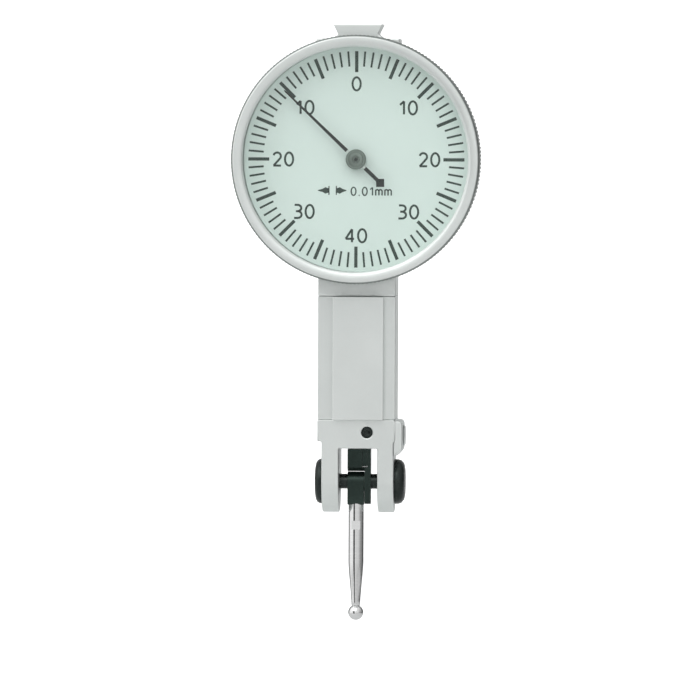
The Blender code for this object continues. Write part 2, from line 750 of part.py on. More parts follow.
def make_pointer():
    """A thin blade with a round middle and, on its tail, a square weight that stands on one corner."""
    half = POINTER_HALF_AT_HUB
    meets = math.degrees(math.asin(half / POINTER_MIDDLE_RADIUS))
    neck = TAIL_WEIGHT_MIDDLE - TAIL_WEIGHT_CORNER + half
    outline = [
        (-POINTER_HALF_AT_TIP, POINTER_REACH - POINTER_POINT),
        (0, POINTER_REACH),
        (POINTER_HALF_AT_TIP, POINTER_REACH - POINTER_POINT),
        *arc((0, 0), POINTER_MIDDLE_RADIUS, 90 - meets, -90 + meets, 10),
        (half, -neck),
        (TAIL_WEIGHT_CORNER, -TAIL_WEIGHT_MIDDLE),
        (0, -TAIL_WEIGHT_MIDDLE - TAIL_WEIGHT_CORNER),
        (-TAIL_WEIGHT_CORNER, -TAIL_WEIGHT_MIDDLE),
        (-half, -neck),
        *arc((0, 0), POINTER_MIDDLE_RADIUS, 270 - meets, 90 + meets, 10),
    ]
    eye = circle((0, 0), HUB_WAIST_RADIUS + FIT)
    turn = (TO_FRONT[0], math.radians(POINTER_REST_DEG), 0)
    at = (0, POINTER_Y, DIAL_Z)
    flat("pointer", [outline, eye], POINTER_THICKNESS, pointer_black, at, turn, pointer_axis)


def make_pointer_bush():
    """The turned bush that grips the arbor and carries the pointer between two shoulders."""
    seat = -POINTER_Y
    profile = [
        (ARBOR_TIP_RADIUS + FIT, -HUB_FRONT_Y),
        (HUB_NOSE_RADIUS - 0.1, -HUB_FRONT_Y),
        (HUB_NOSE_RADIUS, seat + HUB_SHOULDER_HEIGHT),
        (HUB_RADIUS - HUB_ROUND, seat + HUB_SHOULDER_HEIGHT - HUB_ROUND / 3),
        (HUB_RADIUS, seat + HUB_SHOULDER_HEIGHT - HUB_ROUND),
        (HUB_RADIUS, seat + HUB_GRIP),
        (HUB_WAIST_RADIUS, seat + HUB_GRIP),
        (HUB_WAIST_RADIUS, seat - HUB_GRIP),
        (HUB_FLANGE_RADIUS, seat - HUB_GRIP),
        (HUB_FLANGE_RADIUS, seat - HUB_GRIP - HUB_FLANGE_THICKNESS),
        (HUB_SLEEVE_RADIUS, seat - HUB_GRIP - HUB_FLANGE_THICKNESS),
        (HUB_SLEEVE_RADIUS, -HUB_REAR_Y),
        (ARBOR_TIP_RADIUS + FIT, -HUB_REAR_Y),
        (ARBOR_TIP_RADIUS + FIT, -HUB_FRONT_Y),
    ]
    turned("pointer_bush", profile, hub_grey, (0, 0, DIAL_Z), TO_FRONT, pointer_axis)


def make_centre_arbor():
    profile = [
        (0, -ARBOR_FRONT_Y),
        (ARBOR_TIP_RADIUS, -ARBOR_FRONT_Y),
        (ARBOR_TIP_RADIUS, -HUB_REAR_Y - PLAY),
        (ARBOR_RADIUS, -HUB_REAR_Y - PLAY),
        (ARBOR_RADIUS, -CENTRE_PINION_REAR_Y - 0.2),
        (ARBOR_PIVOT_RADIUS, -CENTRE_PINION_REAR_Y - 0.3),
        (ARBOR_PIVOT_RADIUS, -COCK_REAR_Y),
        (0, -COCK_REAR_Y),
    ]
    turned("centre_arbor", profile, steel, (0, 0, DIAL_Z), TO_FRONT, pointer_axis, TINY_STEPS)


def make_centre_pinion():
    # a gap of the pinion faces the crown wheel, which is on the left
    outline = gear_outline(CENTRE_PINION_TEETH, CROWN_MODULE, 180 + 180 / CENTRE_PINION_TEETH)
    loops = [outline, circle((0, 0), ARBOR_RADIUS + FIT, TINY_STEPS)]
    y = (CENTRE_PINION_FRONT_Y + CENTRE_PINION_REAR_Y) / 2
    width = CENTRE_PINION_REAR_Y - CENTRE_PINION_FRONT_Y
    flat("centre_pinion", loops, width, brass, (0, y, DIAL_Z), TO_FRONT, pointer_axis)


def make_hairspring():
    """A flat spiral of strip between the collet on the arbor and the stud on the movement plate."""
    inner, outer = [], []
    count = HAIRSPRING_TURNS * SMALL_STEPS
    for i in range(count + 1):
        angle = math.tau * HAIRSPRING_TURNS * i / count
        radius = HAIRSPRING_START + (HAIRSPRING_END - HAIRSPRING_START) * i / count
        for side, points in ((-0.5, inner), (0.5, outer)):
            r = radius + side * HAIRSPRING_THICKNESS
            points.append((r * math.cos(angle), r * math.sin(angle)))
    outline = inner + outer[::-1]
    at = (0, HAIRSPRING_Y, DIAL_Z)
    flat("hairspring", [outline], HAIRSPRING_WIDTH, spring_bronze, at, TO_FRONT)
    collet = ring_profile(ARBOR_RADIUS + FIT, COLLET_RADIUS, -COLLET_HALF_WIDTH, COLLET_HALF_WIDTH)
    turned("hairspring_collet", collet, brass, at, TO_FRONT, pointer_axis, TINY_STEPS)
    left = HAIRSPRING_END + STUD_GAP
    plate_front = PLATE_REAR_Y - PLATE_THICKNESS - FIT
    low = (left, STUD_FRONT_Y, DIAL_Z - STUD_SIZE / 2)
    high = (left + STUD_SIZE, plate_front, DIAL_Z + STUD_SIZE / 2)
    box("hairspring_stud", low, high, brass)


# ---- crown wheel and cross shaft --------------------------------------------------------------------


def make_crown_wheel():
    """A face gear: the teeth stand on the rim of a disc and point along the shaft, to the right."""
    pitch_x = -CENTRE_PINION_RADIUS
    tip, low = pitch_x + ADDENDUM * CROWN_MODULE, pitch_x - DEDENDUM * CROWN_MODULE
    inner, outer = CROWN_RADIUS - CROWN_FACE / 2, CROWN_RADIUS + CROWN_FACE / 2
    spacing = math.tau / CROWN_TEETH
    play = BACKLASH / (2 * CROWN_RADIUS)
    slope = DEDENDUM * CROWN_MODULE * math.tan(PRESSURE_ANGLE) / CROWN_RADIUS
    at_root = spacing / 4 + slope - play
    at_tip = spacing / 4 - ADDENDUM * CROWN_MODULE * math.tan(PRESSURE_ANGLE) / CROWN_RADIUS - play
    mesh = bpy.data.meshes.new("crown_wheel")
    shape = bmesh.new()
    sections = []
    for number in range(CROWN_TEETH):
        # a tooth stands at the front, where the centre pinion meets the wheel
        middle = math.pi + number * spacing
        for offset, height in ((-at_root, low), (-at_tip, tip), (at_tip, tip), (at_root, low)):
            angle = middle + offset
            section = (
                (CROWN_EYE, CROWN_BACK_X),
                (outer, CROWN_BACK_X),
                (outer, height),
                (inner, height),
                (inner, low - CROWN_STEP),
                (CROWN_EYE, low - CROWN_STEP),
            )
            sections.append(
                [shape.verts.new((r * math.cos(angle), r * math.sin(angle), x)) for r, x in section]
            )
    for number, section in enumerate(sections):
        following = sections[(number + 1) % len(sections)]
        for i in range(len(section)):
            j = (i + 1) % len(section)
            shape.faces.new((section[i], following[i], following[j], section[j]))
    bmesh.ops.recalc_face_normals(shape, faces=shape.faces)
    shape.to_mesh(mesh)
    shape.free()
    place("crown_wheel", mesh, brass, (0, 0, DIAL_Z), TO_RIGHT, shaft_axis)
    hub = ring_profile(SHAFT_RADIUS + FIT, CROWN_EYE - FIT, CROWN_HUB_LEFT_X, CROWN_HUB_RIGHT_X)
    turned("crown_hub", hub, steel, (0, 0, DIAL_Z), TO_RIGHT, shaft_axis)


def make_cross_shaft():
    half = BRIDGE_OUTER_X + SHAFT_END
    profile = rod_profile(SHAFT_RADIUS, -half, half)
    turned("cross_shaft", profile, steel, (0, 0, DIAL_Z), TO_RIGHT, shaft_axis)
    # the gap between two teeth faces down, towards the sector
    outline = gear_outline(SECTOR_PINION_TEETH, SECTOR_MODULE, -90 + 180 / SECTOR_PINION_TEETH)
    loops = [outline, circle((0, 0), SHAFT_RADIUS + FIT)]
    width = SECTOR_THICKNESS + PINION_EXTRA_WIDTH
    flat("sector_pinion", loops, width, brass, (SECTOR_X, 0, DIAL_Z), TO_RIGHT, shaft_axis)


# ---- sector lever -----------------------------------------------------------------------------------
def make_sector_lever():
    """A long lever with a toothed arc at the top and, below its arbor, a fork round the drive pin."""
    spacing = math.tau / SECTOR_TEETH
    teeth = []
    half_count = SECTOR_TEETH_CUT // 2
    for number in range(half_count, -half_count - 1, -1):
        teeth += tooth(SECTOR_TEETH, SECTOR_MODULE, math.radians(90) - number * spacing)
    edge = abs(teeth[0][0])
    reach = DIAL_Z - SECTOR_PIVOT_Z
    pin = -(SECTOR_PIVOT_Z - PIVOT_Z - PIN_REACH)
    slot = PIN_RADIUS + PLAY
    slot_root = pin + PIN_RADIUS + PLAY
    end = pin - 2 * PIN_RADIUS
    # one side of the lever, from the teeth down to the open end of the slot
    side = [
        (-edge, reach - SECTOR_RIM_DEPTH),
        (-SECTOR_WAIST_HALF, reach - SECTOR_NECK_DEPTH),
        (-SECTOR_FORK_HALF, 2 * SECTOR_EYE_RADIUS),
        *arc((0, 0), SECTOR_EYE_RADIUS, 127, 233, 8),
        (-SECTOR_FORK_HALF, pin + 2 * PIN_RADIUS),
        (-SECTOR_FORK_HALF, end),
        (-slot, end),
        (-slot, slot_root),
    ]
    outline = [*teeth, *side, *[(-y, z) for y, z in reversed(side)]]
    loops = [outline, circle((0, 0), SECTOR_ARBOR_RADIUS + FIT)]
    at = (SECTOR_X, 0, SECTOR_PIVOT_Z)
    flat("sector_lever", loops, SECTOR_THICKNESS, black, at, TO_RIGHT, sector_axis)
    journal, right, left = ARBOR_JOURNAL_RADIUS, ARBOR_RIGHT_END_X, ARBOR_LEFT_END_X
    arbor = [
        (0, right),
        (journal, right),
        (journal, ARBOR_SHOULDER_X),
        (SECTOR_ARBOR_RADIUS, ARBOR_SHOULDER_X),
        (SECTOR_ARBOR_RADIUS, -ARBOR_SHOULDER_X),
        (journal, -ARBOR_SHOULDER_X),
        (journal, left),
        (0, left),
    ]
    turned("sector_arbor", arbor, steel, (0, 0, SECTOR_PIVOT_Z), TO_RIGHT, sector_axis)


def make_return_spring():
    """A leaf spring in the stem that presses the sector lever back to its rest."""
    top = STEM_TOP_Z - SPRING_TOP_DROP
    bottom = top - SPRING_LENGTH
    wall = -CHANNEL_Y + FIT
    bend = SPRING_TIP_Y - 0.2
    outline = [
        (wall, top),
        (wall, top - SPRING_FOOT),
        (bend - SPRING_THICKNESS, top - 2 * SPRING_FOOT),
        (SPRING_TIP_Y - SPRING_THICKNESS, bottom),
        (SPRING_TIP_Y, bottom),
        (bend, top - 2 * SPRING_FOOT + 0.1),
        (wall + 2 * SPRING_THICKNESS, top - SPRING_FOOT + 0.1),
        (wall + 2 * SPRING_THICKNESS, top),
    ]
    flat("return_spring", [outline], SECTOR_THICKNESS, spring_bronze, (SECTOR_X, 0, 0), TO_RIGHT)


# ---- stem and rear cover ------------------------------------------------------------------------------
def make_stem_body():
    """A channel open at the back, with a dovetail rail along its front."""
    rail_front = STEM_FRONT_Y - RAIL_HEIGHT
    outline = [
        (-STEM_HALF, STEM_FRONT_Y),
        (SIDE_STEP - RAIL_ROOT_HALF, STEM_FRONT_Y),
        (SIDE_STEP - RAIL_FACE_HALF, rail_front),
        (SIDE_STEP + RAIL_FACE_HALF, rail_front),
        (SIDE_STEP + RAIL_ROOT_HALF, STEM_FRONT_Y),
        (STEM_HALF, STEM_FRONT_Y),
        (STEM_HALF, STEM_REAR_Y),
        (CHANNEL_HALF, STEM_REAR_Y),
        (CHANNEL_HALF, -CHANNEL_Y),
        (-CHANNEL_HALF, -CHANNEL_Y),
        (-CHANNEL_HALF, STEM_REAR_Y),
        (-STEM_HALF, STEM_REAR_Y),
    ]
    length = STEM_TOP_Z - FORK_TOP_Z - FIT
    middle = (STEM_TOP_Z + FORK_TOP_Z + FIT) / 2
    flat("stem_body", [outline], length, silver, (0, 0, middle), UPRIGHT)


def cover_screw_cutters(row):
    made = []
    for side in (-1, 1):
        profile = rod_profile(COVER_SCREW_RADIUS + PLAY, -COVER_SCREW_DEPTH - PLAY, 2)
        at = (side * COVER_SCREW_X, STEM_REAR_Y, COVER_SCREW_ROWS[row])
        name = f"cover_screw_cutter_{row}_{'right' if side > 0 else 'left'}"
        made.append(as_cutter(turned(name, profile, None, at, TO_REAR, None, TINY_STEPS)))
    return made


def make_stem_cover():
    """The rear plate, screwed to the head's neck and to the fork, with a dovetail rail along it."""
    front = STEM_REAR_Y + FIT
    rear = front + COVER_THICKNESS
    outline = [
        (-STEM_HALF, front),
        (STEM_HALF, front),
        (STEM_HALF, rear),
        (RAIL_ROOT_HALF, rear),
        (RAIL_FACE_HALF, rear + RAIL_HEIGHT),
        (-RAIL_FACE_HALF, rear + RAIL_HEIGHT),
        (-RAIL_ROOT_HALF, rear),
        (-STEM_HALF, rear),
    ]
    length = COVER_TOP_Z - COVER_BOTTOM_Z
    middle = (COVER_TOP_Z + COVER_BOTTOM_Z) / 2
    cover = flat("stem_cover", [outline], length, silver, (0, 0, middle), UPRIGHT)
    cut(cover, *[tool for tool in cutters.objects if tool.name.startswith("cover_screw_cutter")])
    length = COVER_SCREW_DEPTH + COVER_THICKNESS
    mesh = slotted_screw("stem_cover_screw", *COVER_SCREW_HEAD, COVER_SCREW_RADIUS, length)
    number = 0
    for z in COVER_SCREW_ROWS.values():
        for side in (-1, 1):
            number += 1
            at = (side * COVER_SCREW_X, rear + FIT, z)
            place(f"stem_cover_screw_{number}", mesh, steel, at, TO_REAR)


# ---- fork and pivot -----------------------------------------------------------------------------------


def make_fork_block():
    """The lower end of the body: two ears with a slot between them, bored across for the axle."""
    side_view = [
        (-EAR_RADIUS, FORK_TOP_Z),
        *arc((0, PIVOT_Z), EAR_RADIUS, 180, 360, 20),
        (EAR_RADIUS, FORK_TOP_Z),
    ]
    width = EAR_RIGHT_X - EAR_LEFT_X
    middle = (EAR_LEFT_X + EAR_RIGHT_X) / 2
    fork = flat("fork_block", [side_view], width, silver, (middle, 0, 0), TO_RIGHT)
    shoulder = as_cutter(
        box(
            "shoulder_blank",
            (-STEM_HALF, -EAR_RADIUS, LEFT_STEP_Z),
            (STEM_HALF, EAR_RADIUS, FORK_TOP_Z),
        )
    )
    root, top = STEM_HALF - OVERLAP, FORK_TOP_Z - BOSS_DROP
    upper = (BOSS_END_X - BOSS_TOP_ROUND, top - BOSS_TOP_ROUND)
    lower = (BOSS_END_X - BOSS_LOW_ROUND, BOSS_BOTTOM_Z + BOSS_LOW_ROUND)
    front_view = [
        (root, BOSS_BOTTOM_Z),
        *arc(lower, BOSS_LOW_ROUND, 270, 360, 8),
        *arc(upper, BOSS_TOP_ROUND, 0, 90, 6),
        (root, top),
    ]
    boss = as_cutter(flat("boss_blank", [front_view], 2 * BOSS_HALF_DEPTH, None, (0, 0, 0), TO_FRONT))
    sector_pivot = (0, 0, SECTOR_PIVOT_Z)
    slot = as_cutter(
        box(
            "slot_cutter",
            (SLOT_LEFT_X, -CUTTER_REACH, PIVOT_Z - CUTTER_REACH),
            (SLOT_RIGHT_X, CUTTER_REACH, SLOT_ROOF_Z),
        )
    )
    channel = as_cutter(
        box(
            "fork_channel_cutter",
            (-CHANNEL_HALF + OVERLAP, -CHANNEL_Y, SLOT_ROOF_Z - 1),
            (CHANNEL_HALF, CHANNEL_Y, FORK_TOP_Z + 1),
        )
    )
    bore_profile = rod_profile(BEARING_RADIUS + FIT, -CUTTER_REACH, CUTTER_REACH)
    bore = as_cutter(turned("axle_bore_cutter", bore_profile, None, (0, 0, PIVOT_Z), TO_RIGHT))
    plug_profile = rod_profile(PLUG_RADIUS + FIT, 1, CUTTER_REACH)
    plug = as_cutter(turned("plug_cutter", plug_profile, None, sector_pivot, TO_RIGHT))
    bush_profile = rod_profile(LEFT_BUSH_RADIUS + FIT, LEFT_BUSH_OUTER_X - PLAY, 0)
    bush = as_cutter(turned("bush_cutter", bush_profile, None, sector_pivot, TO_RIGHT))
    hole_profile = rod_profile(SET_SCREW_RADIUS + FIT, 2, CUTTER_REACH)
    hole_at = (SET_SCREW_X, 0, SET_SCREW_Z)
    hole = as_cutter(turned("set_screw_cutter", hole_profile, None, hole_at, TO_FRONT))
    join(fork, shoulder, boss)
    cut(fork, slot, channel, bore, plug, bush, hole, *cover_screw_cutters("fork"))


def make_pivot_bearings():
    for name, x, side in (("left", SLOT_LEFT_X, -1), ("right", SLOT_RIGHT_X, 1)):
        inner, half = AXLE_RADIUS + JOURNAL_PLAY, BEARING_WIDTH / 2
        profile = ring_profile(inner, BEARING_RADIUS, -half, half)
        middle = x + side * (BEARING_INSET + half)
        turned(f"pivot_bearing_{name}", profile, bearing_bronze, (middle, 0, PIVOT_Z), TO_RIGHT)


def cap_profile(proud, spigot):
    """A round cap with a domed rim and a screwdriver slot's flat face, and a spigot into the ear."""
    edge = CAP_RADIUS
    return [
        (0, proud),
        (edge * 0.62, proud),
        (edge * 0.82, proud * 0.9),
        (edge * 0.95, proud * 0.66),
        (edge, proud * 0.36),
        (edge, 0),
        (BEARING_RADIUS - PLAY, 0),
        (BEARING_RADIUS - PLAY, -spigot),
        (0, -spigot),
    ]


def make_pivot_caps():
    for name, x, turn, proud in (
        ("pivot_cap_left", EAR_LEFT_X - FIT, TO_LEFT, LEFT_CAP_PROUD),
        ("pivot_cap_right", EAR_RIGHT_X + FIT, TO_RIGHT, RIGHT_CAP_PROUD),
    ):
        cap = turned(name, cap_profile(proud, CAP_SPIGOT), black, (x, 0, PIVOT_Z), turn, None, CAP_STEPS)
        outward = -1 if x < 0 else 1
        low, high = sorted((x + outward * (proud - CAP_SLOT_DEPTH), x + outward * (proud + 1)))
        slot = as_cutter(
            box(
                name + "_slot",
                (low, -CAP_SLOT_HALF, PIVOT_Z - CUTTER_REACH),
                (high, CAP_SLOT_HALF, PIVOT_Z + CUTTER_REACH),
            )
        )
        cut(cap, slot)


def make_sector_bearings():
    """A screwed plug with a slotted head on the end of the boss, and a plain bush in the left wall."""
    seat = BOSS_END_X + FIT
    face = seat + PLUG_HEAD_HEIGHT
    bore = ARBOR_JOURNAL_RADIUS + JOURNAL_PLAY
    profile = [
        (0, face),
        (PLUG_HEAD_RADIUS * 0.9, face),
        (PLUG_HEAD_RADIUS, face - PLUG_HEAD_HEIGHT * 0.4),
        (PLUG_HEAD_RADIUS, seat),
        (PLUG_RADIUS, seat),
        (PLUG_RADIUS, PLUG_INNER_X),
        (bore, PLUG_INNER_X),
        (bore, PLUG_BORE_END_X),
        (0, PLUG_BORE_END_X),
    ]
    at = (0, 0, SECTOR_PIVOT_Z)
    plug = turned("sector_bearing_plug", profile, silver, at, TO_RIGHT, None, PLUG_STEPS)
    slot = as_cutter(
        box(
            "plug_slot_cutter",
            (face - PLUG_SLOT_DEPTH, -PLUG_SLOT_HALF, SECTOR_PIVOT_Z - CUTTER_REACH),
            (face + CUTTER_REACH, PLUG_SLOT_HALF, SECTOR_PIVOT_Z + CUTTER_REACH),
        )
    )
    cut(plug, slot)
    bush = ring_profile(bore, LEFT_BUSH_RADIUS, LEFT_BUSH_OUTER_X, LEFT_BUSH_INNER_X)
    turned("sector_bearing_bush", bush, bearing_bronze, (0, 0, SECTOR_PIVOT_Z), TO_RIGHT)


def make_set_screw():
    """A headless screw in the front of the fork, with a hexagon socket. It stops the sector lever."""
    body = rod_profile(SET_SCREW_RADIUS, -SET_SCREW_REAR_Y, -SET_SCREW_FRONT_Y)
    screw = turned("set_screw", body, black, (SET_SCREW_X, 0, SET_SCREW_Z), TO_FRONT)
    hexagon = circle((0, 0), SOCKET_RADIUS, 6)
    at = (SET_SCREW_X, SET_SCREW_FRONT_Y, SET_SCREW_Z)
    socket = as_cutter(flat("socket_cutter", [hexagon], 2 * SOCKET_DEPTH, None, at, TO_FRONT))
    cut(screw, socket)


# ---- stylus lever, holder and stylus --------------------------------------------------------------------


def make_swing_lever():
    """The black lever on the axle: a cheek plate beside the holder, and a block above it that carries
    the drive pin in a slot."""
    cheek = [
        (-LEVER_HALF_DEPTH, LEVER_TOP_Z),
        (-LEVER_HALF_DEPTH, CHEEK_BOTTOM_Z + LEVER_CHAMFER),
        (-LEVER_HALF_DEPTH + LEVER_CHAMFER, CHEEK_BOTTOM_Z),
        (LEVER_HALF_DEPTH - LEVER_CHAMFER, CHEEK_BOTTOM_Z),
        (LEVER_HALF_DEPTH, CHEEK_BOTTOM_Z + LEVER_CHAMFER),
        (LEVER_HALF_DEPTH, LEVER_TOP_Z),
    ]
    hole = circle((0, PIVOT_Z), AXLE_RADIUS + FIT)
    middle = (CHEEK_X + LEVER_RIGHT_X) / 2
    cheek_width = LEVER_RIGHT_X - CHEEK_X
    lever = flat("swing_lever", [cheek, hole], cheek_width, black, (middle, 0, 0), TO_RIGHT, lever_axis)
    block_view = [
        (-LEVER_HALF_DEPTH, LEVER_TOP_Z),
        (-LEVER_HALF_DEPTH, BLOCK_BOTTOM_Z + LEVER_CHAMFER),
        (-LEVER_HALF_DEPTH + LEVER_CHAMFER, BLOCK_BOTTOM_Z),
        (LEVER_HALF_DEPTH - LEVER_CHAMFER, BLOCK_BOTTOM_Z),
        (LEVER_HALF_DEPTH, BLOCK_BOTTOM_Z + LEVER_CHAMFER),
        (LEVER_HALF_DEPTH, LEVER_TOP_Z),
    ]
    # the block runs a little into the cheek, so that the two join
    block_right = CHEEK_X + OVERLAP
    width = block_right - LEVER_LEFT_X
    at = ((LEVER_LEFT_X + block_right) / 2, 0, 0)
    block = as_cutter(flat("lever_block_blank", [block_view], width, None, at, TO_RIGHT, lever_axis))
    pin_z = PIVOT_Z + PIN_REACH
    half_slot = SECTOR_THICKNESS / 2 + PLAY
    slot = as_cutter(
        box(
            "lever_slot_cutter",
            (SECTOR_X - half_slot, -CUTTER_REACH, pin_z - LEVER_SLOT_DROP),
            (SECTOR_X + half_slot, CUTTER_REACH, LEVER_TOP_Z + 1),
            None,
            lever_axis,
        )
    )
    pin_hole = as_cutter(
        turned(
            "drive_pin_cutter",
            rod_profile(PIN_RADIUS + FIT, PIN_LEFT_X - PLAY, CUTTER_REACH),
            None,
            (0, 0, pin_z),
            TO_RIGHT,
            lever_axis,
            TINY_STEPS,
        )
    )
    join(lever, block)
    cut(lever, slot, pin_hole)
    pin = rod_profile(PIN_RADIUS, PIN_LEFT_X, LEVER_RIGHT_X - FIT)
    turned("drive_pin", pin, steel, (0, 0, pin_z), TO_RIGHT, lever_axis, TINY_STEPS)
    axle = rod_profile(AXLE_RADIUS, EAR_LEFT_X + AXLE_INSET, EAR_RIGHT_X - AXLE_INSET)
    turned("pivot_axle", axle, black, (0, 0, PIVOT_Z), TO_RIGHT, lever_axis)


def make_stylus_holder():
    side_view = [
        *arc((0, PIVOT_Z), HOLDER_EYE, -25, 205, 16),
        (-HOLDER_HALF_DEPTH, HOLDER_BOTTOM_Z + HOLDER_CHAMFER),
        (-HOLDER_HALF_DEPTH + HOLDER_CHAMFER, HOLDER_BOTTOM_Z),
        (HOLDER_HALF_DEPTH - HOLDER_CHAMFER, HOLDER_BOTTOM_Z),
        (HOLDER_HALF_DEPTH, HOLDER_BOTTOM_Z + HOLDER_CHAMFER),
    ]
    hole = circle((0, PIVOT_Z), AXLE_RADIUS + FIT)
    width = HOLDER_RIGHT_X - HOLDER_LEFT_X
    at = ((HOLDER_LEFT_X + HOLDER_RIGHT_X) / 2, 0, 0)
    holder = flat("stylus_holder", [side_view, hole], width, black, at, TO_RIGHT, stylus_axis)
    profile = rod_profile(THREAD_RADIUS + FIT, HOLDER_BOTTOM_Z - 1, THREAD_TOP_Z + PLAY)
    thread = as_cutter(turned("thread_cutter", profile, None, (STYLUS_X, 0, 0), UPRIGHT, stylus_axis))
    cut(holder, thread)
    washer = ring_profile(AXLE_RADIUS + PLAY, WASHER_RADIUS, HOLDER_RIGHT_X + FIT, CHEEK_X - FIT)
    turned("friction_washer", washer, black, (0, 0, PIVOT_Z), TO_RIGHT, stylus_axis)


def make_stylus():
    """A turned chrome shank with two spanner flats, a screw end, and a seat for the ball."""
    ball_z = PIVOT_Z - STYLUS_LENGTH
    seat = BALL_RADIUS + FIT
    seat_points = []
    for i in range(5):
        radius = NECK_RADIUS * (1 - i / 4)
        seat_points.append((radius, ball_z + math.sqrt(seat**2 - radius**2)))
    profile = [
        (0, THREAD_TOP_Z),
        (THREAD_RADIUS, THREAD_TOP_Z),
        (THREAD_RADIUS, HOLDER_BOTTOM_Z - FIT),
        (SHANK_RADIUS - SHANK_CHAMFER, HOLDER_BOTTOM_Z - FIT),
        (SHANK_RADIUS, HOLDER_BOTTOM_Z - FIT - SHANK_CHAMFER),
        (SHANK_RADIUS, TAPER_TOP_Z),
        *seat_points,
    ]
    at = (STYLUS_X, 0, 0)
    stylus = turned("stylus_shank", profile, chrome, at, UPRIGHT, stylus_axis, SHANK_STEPS)
    for name, low, high in (("front", -2.0, -FLAT_HALF), ("rear", FLAT_HALF, 2.0)):
        tool = as_cutter(
            box(
                f"spanner_flat_cutter_{name}",
                (STYLUS_X - 2, low, FLAT_BOTTOM_Z),
                (STYLUS_X + 2, high, FLAT_TOP_Z),
                None,
                stylus_axis,
            )
        )
        cut(stylus, tool)
    mesh = bpy.data.meshes.new("contact_ball")
    shape = bmesh.new()
    bmesh.ops.create_uvsphere(shape, u_segments=SMALL_STEPS, v_segments=TINY_STEPS, radius=BALL_RADIUS)
    shape.to_mesh(mesh)
    shape.free()
    mesh.shade_smooth()
    place("contact_ball", mesh, carbide, (STYLUS_X, 0, ball_z), UPRIGHT, stylus_axis)


clear_scene()
parts = new_collection("dial_test_indicator")
cutters = new_collection("cutters")

silver = new_material("satin_chrome", (0.62, 0.64, 0.63), 0.38, 1.0)
chrome = new_material("polished_chrome", (0.75, 0.75, 0.76), 0.12, 1.0)
steel = new_material("screw_steel", (0.5, 0.5, 0.5), 0.3, 1.0)
pointer_black = new_material("black_paint", (0.015, 0.018, 0.017), 0.45, 0.0)
black = new_material("black_oxide", (0.02, 0.022, 0.021), 0.4, 0.6)
hub_grey = new_material("hub_grey", (0.17, 0.2, 0.17), 0.35, 0.9)
brass = new_material("brass", (0.68, 0.5, 0.22), 0.3, 1.0)
bearing_bronze = new_material("bearing_bronze", (0.5, 0.36, 0.2), 0.4, 1.0)
spring_bronze = new_material("spring_bronze", (0.55, 0.38, 0.2), 0.3, 1.0)
ruby = new_material("ruby", (0.55, 0.02, 0.08), 0.1, 0.0)
dial_white = new_material("dial_enamel", (0.6, 0.75, 0.69), 0.45, 0.0)
glass = new_material("crystal_glass", (0.95, 1.0, 0.98), 0.02, 0.0, 0.2)
carbide = new_material("carbide", (0.6, 0.6, 0.6), 0.15, 1.0)

root = bpy.data.objects.new("indicator_mm", None)
parts.objects.link(root)
root.scale = (METRES_PER_MM, METRES_PER_MM, METRES_PER_MM)
frame = new_empty("frame", (0, 0, 0), root)
bezel_axis = new_empty("bezel_axis", (0, 0, DIAL_Z), root)
pointer_axis = new_empty("pointer_axis", (0, 0, DIAL_Z), root)
shaft_axis = new_empty("shaft_axis", (0, 0, DIAL_Z), root)
sector_axis = new_empty("sector_axis", (0, 0, SECTOR_PIVOT_Z), root)
lever_axis = new_empty("lever_axis", (0, 0, PIVOT_Z), root)
stylus_axis = new_empty("stylus_axis", (0, 0, PIVOT_Z), root)

make_head_case()
make_back_cover()
make_back_screws()
make_movement_plate()
make_bridges()
make_jewels()
make_retaining_ring()
make_bezel()
make_dial_plate()
make_crystal()
make_pointer()
make_pointer_bush()
make_centre_arbor()
make_centre_pinion()
make_hairspring()
make_crown_wheel()
make_cross_shaft()
make_sector_lever()
make_return_spring()
make_stem_body()
make_fork_block()
make_stem_cover()
make_pivot_bearings()
make_pivot_caps()
make_sector_bearings()
make_set_screw()
make_swing_lever()
make_stylus_holder()
make_stylus()
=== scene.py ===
import json
import math

